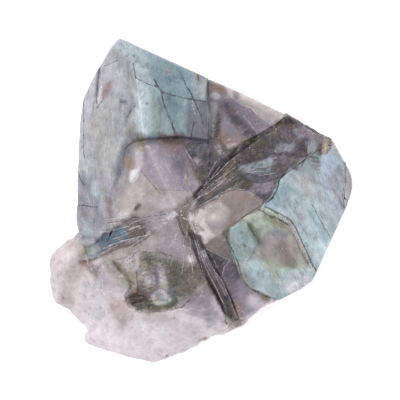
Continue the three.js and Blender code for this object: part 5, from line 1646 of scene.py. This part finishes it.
# ---- what repeats or follows a path -----------------------------------------------------
class Recipe(Nodes):
    """A Geometry Nodes tree under way: a mesh goes in, and shapes made from it come out."""

    def __init__(self, name, material, sizes):
        self.tree = bpy.data.node_groups.new(name, "GeometryNodeTree")
        self.material = material
        self.sizes = sizes
        self.sockets = {}
        self.new_input("Geometry", "NodeSocketGeometry")
        sockets = self.tree.interface
        sockets.new_socket("Geometry", in_out="OUTPUT", socket_type="NodeSocketGeometry")
        self.group = self.tree.nodes.new("NodeGroupInput")
        for size in sizes:
            self.new_input(size, "NodeSocketFloat")

    def new_input(self, name, kind):
        socket = self.tree.interface.new_socket(name, in_out="INPUT", socket_type=kind)
        self.sockets[name] = socket.identifier

    def given(self, name):
        return self.group.outputs[name]

    def close(self, geometry):
        real = self.made("GeometryNodeRealizeInstances", {"Geometry": geometry})
        coat = {"Geometry": real, "Material": self.material}
        coated = self.made("GeometryNodeSetMaterial", coat)
        self.tree.links.new(coated, self.tree.nodes.new("NodeGroupOutput").inputs[0])
        return self

    def made_on(self, base, name, more):
        """The plain mesh that the tree makes from `base`, an object, with its sizes and `more`."""
        modifier = base.modifiers.new(name, "NODES")
        modifier.node_group = self.tree
        for key, value in {**self.sizes, **more}.items():
            modifier[self.sockets[key]] = value
        base.update_tag()
        scene_state = bpy.context.evaluated_depsgraph_get()
        mesh = bpy.data.meshes.new_from_object(base.evaluated_get(scene_state))
        base.modifiers.remove(modifier)
        return mesh


def leaf_shape(recipe):
    """A thin six-sided leaf."""
    sizes = {"Vertices": 6, "Radius": recipe.given("Size"), "Depth": recipe.given("Thickness")}
    return recipe.made("GeometryNodeMeshCylinder", sizes, fill_type="NGON")


def crumb_shape(recipe):
    """A round crumb of twenty sides, which its scale makes uneven."""
    sizes = {"Radius": recipe.given("Size"), "Subdivisions": 1}
    return recipe.made("GeometryNodeMeshIcoSphere", sizes)


def random_vector(recipe, low, high):
    ends = {0: low, 1: high, "Seed": recipe.given("Seed")}
    return recipe.made("FunctionNodeRandomValue", ends, data_type="FLOAT_VECTOR")


def chip_turns(recipe, points):
    """Each chip lies as the surface does, tilted a little and turned any way."""
    tilt = recipe.given("Tilt")
    back = recipe.times(tilt, -1.0)
    lowest = recipe.made("ShaderNodeCombineXYZ", {0: back, 1: back, 2: -math.pi})
    highest = recipe.made("ShaderNodeCombineXYZ", {0: tilt, 1: tilt, 2: math.pi})
    turn = random_vector(recipe, lowest, highest)
    own_turn = recipe.made("FunctionNodeEulerToRotation", {0: turn})
    turns = {"Rotation": points["Rotation"], "Rotate By": own_turn}
    return recipe.made("FunctionNodeRotateRotation", turns, rotation_space="LOCAL")


def scatter_recipe(name, shape, sizes, material):
    """Chips strewn over a surface, as thick as the stored share says and lying as it lies."""
    recipe = Recipe(name, material, sizes)
    recipe.new_input("Seed", "NodeSocketInt")
    stored = {"Name": "strewn"}
    share = recipe.made("GeometryNodeInputNamedAttribute", stored, data_type="FLOAT")
    spread = {
        "Mesh": recipe.given("Geometry"),
        "Density": recipe.times(share, recipe.given("Density")),
        "Seed": recipe.given("Seed"),
    }
    kind = "GeometryNodeDistributePointsOnFaces"
    points = recipe.add(kind, spread, distribute_method="RANDOM").outputs
    sunk = recipe.scaled(points["Normal"], recipe.times(recipe.given("Sink"), -1.0))
    lowered = {"Geometry": points["Points"], "Offset": sunk}
    chips = {
        "Points": recipe.made("GeometryNodeSetPosition", lowered),
        "Instance": shape(recipe),
        "Rotation": chip_turns(recipe, points),
        "Scale": random_vector(recipe, (0.35, 0.35, 0.5), (1.3, 1.0, 1.0)),
    }
    return recipe.close(recipe.made("GeometryNodeInstanceOnPoints", chips))


def crest_recipe(name, sizes, material):
    """A thin broken crest along each line of the mesh that goes in."""
    recipe = Recipe(name, material, sizes)
    recipe.new_input("Half Width", "NodeSocketFloat")
    curve = recipe.made("GeometryNodeMeshToCurve", {"Mesh": recipe.given("Geometry")})
    steps = {"Curve": curve, "Length": recipe.given("Step")}
    even = recipe.made("GeometryNodeResampleCurve", steps, mode="LENGTH")
    place = recipe.made("GeometryNodeInputPosition")
    bends = {"Vector": place, "Scale": 1.6 / MM, "Detail": 3.0}
    noise = recipe.add("ShaderNodeTexNoise", bends).outputs["Color"]
    middle = {0: noise, 1: (0.5, 0.5, 0.5)}
    centred = recipe.made("ShaderNodeVectorMath", middle, operation="SUBTRACT")
    wander = recipe.scaled(centred, recipe.given("Wander"))
    crooked = recipe.made("GeometryNodeSetPosition", {"Geometry": even, "Offset": wander})
    gaps = {"Vector": place, "Scale": 0.9 / MM, "Detail": 2.0}
    breaks = recipe.add("ShaderNodeTexNoise", gaps).outputs["Fac"]
    ends = {"Value": breaks, "From Min": 0.38, "From Max": 0.6, "To Min": 0.15, "To Max": 1.0}
    radii = {"Curve": crooked, "Radius": recipe.made("ShaderNodeMapRange", ends)}
    thick = recipe.made("GeometryNodeSetCurveRadius", radii)
    circle = {"Resolution": 5, "Radius": recipe.given("Half Width")}
    profile = recipe.made("GeometryNodeCurvePrimitiveCircle", circle, mode="RADIUS")
    sweep = {"Curve": thick, "Profile Curve": profile, "Fill Caps": True}
    return recipe.close(recipe.made("GeometryNodeCurveToMesh", sweep))


def strewn(name, host, marks, recipe, seed):
    """Chips over the marked part of a piece's upward faces."""
    mesh = host.data.copy()
    share = mask_of(places_of(mesh) / MM, marks, 3) * smooth_step(outward(mesh)[:, 2], 0.2, 0.6)
    store(mesh, "strewn", "FLOAT", share)
    base = placed(name + "_base", mesh)
    chips = recipe.made_on(base, name, {"Seed": seed})
    bpy.data.objects.remove(base)
    return keep_piece(chips, name)


def top_at(trees, x, y):
    """The highest place over one spot, as a list that is empty beside the stone."""
    hits = [tree.ray_cast(Vector((x, y, SKY)), DOWN)[0] for tree in trees]
    heights = [hit.z for hit in hits if hit is not None]
    return [(x, y, max(heights))] if heights else []


def laid_lines(name, paths, hosts):
    """An object of plain edges: each path followed over the top of the given pieces."""
    trees = [surface_tree(host.data) for host in hosts]
    corners = []
    edges = []
    for path in paths:
        first = len(corners)
        for (ax, ay), (bx, by) in zip(path, path[1:]):
            steps = max(2, int(math.hypot(bx - ax, by - ay) / CREST_STEP))
            for k in range(steps):
                x, y = (ax + (bx - ax) * k / steps) * MM, (ay + (by - ay) * k / steps) * MM
                corners += top_at(trees, x, y)
        edges += [(i, i + 1) for i in range(first, len(corners) - 1)]
    mesh = bpy.data.meshes.new(name)
    mesh.from_pydata(corners, edges, [])
    return placed(name, mesh)


def crest_piece(name, glints, hosts, recipe, half):
    base = laid_lines(name + "_lines", [path for _, path in glints], hosts)
    mesh = recipe.made_on(base, name, {"Half Width": half * MM})
    bpy.data.objects.remove(base)
    return keep_piece(mesh, name)


# ---- the stage --------------------------------------------------------------------------
def make_floor():
    bm = bmesh.new()
    bmesh.ops.create_grid(bm, x_segments=2, y_segments=2, size=FLOOR_HALF)
    mesh = bpy.data.meshes.new("floor")
    bm.to_mesh(mesh)
    bm.free()
    mesh.materials.append(floor_finish())
    placed("floor", mesh)


def make_light(name, place, size, power):
    """A square of light that looks at the stone."""
    light = bpy.data.lights.new(name, "AREA")
    light.shape = "SQUARE"
    light.size = size
    light.energy = power
    lamp = placed(name, light)
    lamp.location = place
    lamp.rotation_euler = (-Vector(place)).to_track_quat("-Z", "Y").to_euler()


def make_world():
    world = bpy.data.worlds.new("studio")
    world.use_nodes = True
    background = world.node_tree.nodes["Background"]
    background.inputs["Color"].default_value = (1, 1, 1, 1)
    background.inputs["Strength"].default_value = WORLD_LIGHT
    bpy.context.scene.world = world


def make_camera():
    """Looks straight down on the stone, as on a loose stone laid on a table."""
    camera = bpy.data.cameras.new("camera")
    camera.sensor_width = 36
    camera.lens = camera.sensor_width * (CAMERA_HEIGHT - VIEW_LEVEL) / VIEW_WIDTH
    camera.clip_end = 20
    eye = placed("camera", camera)
    eye.location = (*VIEW_MIDDLE, CAMERA_HEIGHT)
    bpy.context.scene.camera = eye
    bpy.context.scene.view_settings.view_transform = "Standard"


# ---- the stone --------------------------------------------------------------------------
trees = {node: surface_tree(solid.data, MM) for node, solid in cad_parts.items()}

quartz = make_quartz(quartz_finish())
large_emerald = make_body(
    "large_emerald", "large_emerald_crystal", LARGE_VOXEL, ["quartz_matrix"], large_crystal_relief,
    ("grey_beryl", "pale_teal", EMERALD_TONES),
    emerald_finish("polished pale emerald", 86, 0.4), CREST_EASE,
)
hexagonal_emerald = make_body(
    "hexagonal_emerald", "hexagonal_emerald_crystal", HEXAGON_VOXEL, ["quartz_matrix"], hexagon_relief,
    ("pale_teal", "pale_teal", EMERALD_TONES),
    emerald_finish("polished teal emerald", -62, 0.4),
)
emerald_blade = make_body(
    "emerald_blade", "small_emerald_blade", SMALL_VOXEL,
    ["quartz_matrix", "large_emerald_crystal"], blade_relief,
    ("dusk", "slate", EMERALD_TONES),
    emerald_finish("dark emerald blade", 22, 0.5),
)
mica_seam = make_body(
    "dark_mica_seam", "mica_seam", SEAM_VOXEL,
    ["quartz_matrix", "large_emerald_crystal", "hexagonal_emerald_crystal"], seam_relief,
    ("dusk", "cocoa", MICA_TONES),
    mica_finish("dark mica", 40),
)
mica_blades = make_body(
    "brown_mica_blades", "mica_blades", SMALL_VOXEL, ["quartz_matrix"], mica_blade_relief,
    ("dusk", "cocoa", MICA_TONES),
    mica_finish("brown mica blades", -62, 0.3),
)
mica_nest = make_body(
    "green_mica_nest", "mica_nest", SMALL_VOXEL, ["quartz_matrix"], nest_relief,
    ("dusk", "cream", MICA_TONES),
    mica_finish("crumbly green mica", 20, 0.5), NEST_EASE, NEST_RIM,
)

leaf_look = flake_finish("loose mica leaves", "cocoa", "mauve")
crumb_look = flake_finish("quartz crumbs", "milk", "white")
crest_look = flake_finish("cleavage crests", "mauve", "frost")
leaves = scatter_recipe("mica leaves", leaf_shape, LEAF_SIZES, leaf_look)
crumbs = scatter_recipe("quartz crumbs", crumb_shape, CRUMB_SIZES, crumb_look)
crests_along = crest_recipe("cleavage crests", CREST_SIZES, crest_look)

strewn("seam_leaves", mica_seam, SEAM_GROUND, leaves, 3)
strewn("blade_leaves", mica_blades, BLADES_GROUND, leaves, 5)
strewn("nest_leaves", mica_nest, NEST_GROUND, leaves, 7)
strewn("quartz_crumbs", quartz, BROKEN_QUARTZ, crumbs, 9)
mica_glints = SEAM_GLINTS + MICA_BLADE_GLINTS + BLADE_GLINTS
mica_hosts = [mica_seam, mica_blades, emerald_blade, quartz]
crest_piece("quartz_crests", QUARTZ_GLINTS, [quartz], crests_along, QUARTZ_CREST)
crest_piece("mica_crests", mica_glints, mica_hosts, crests_along, MICA_CREST)

make_floor()
make_world()
make_light("overhead", OVERHEAD_PLACE, OVERHEAD_SIZE, OVERHEAD_POWER)
make_camera()
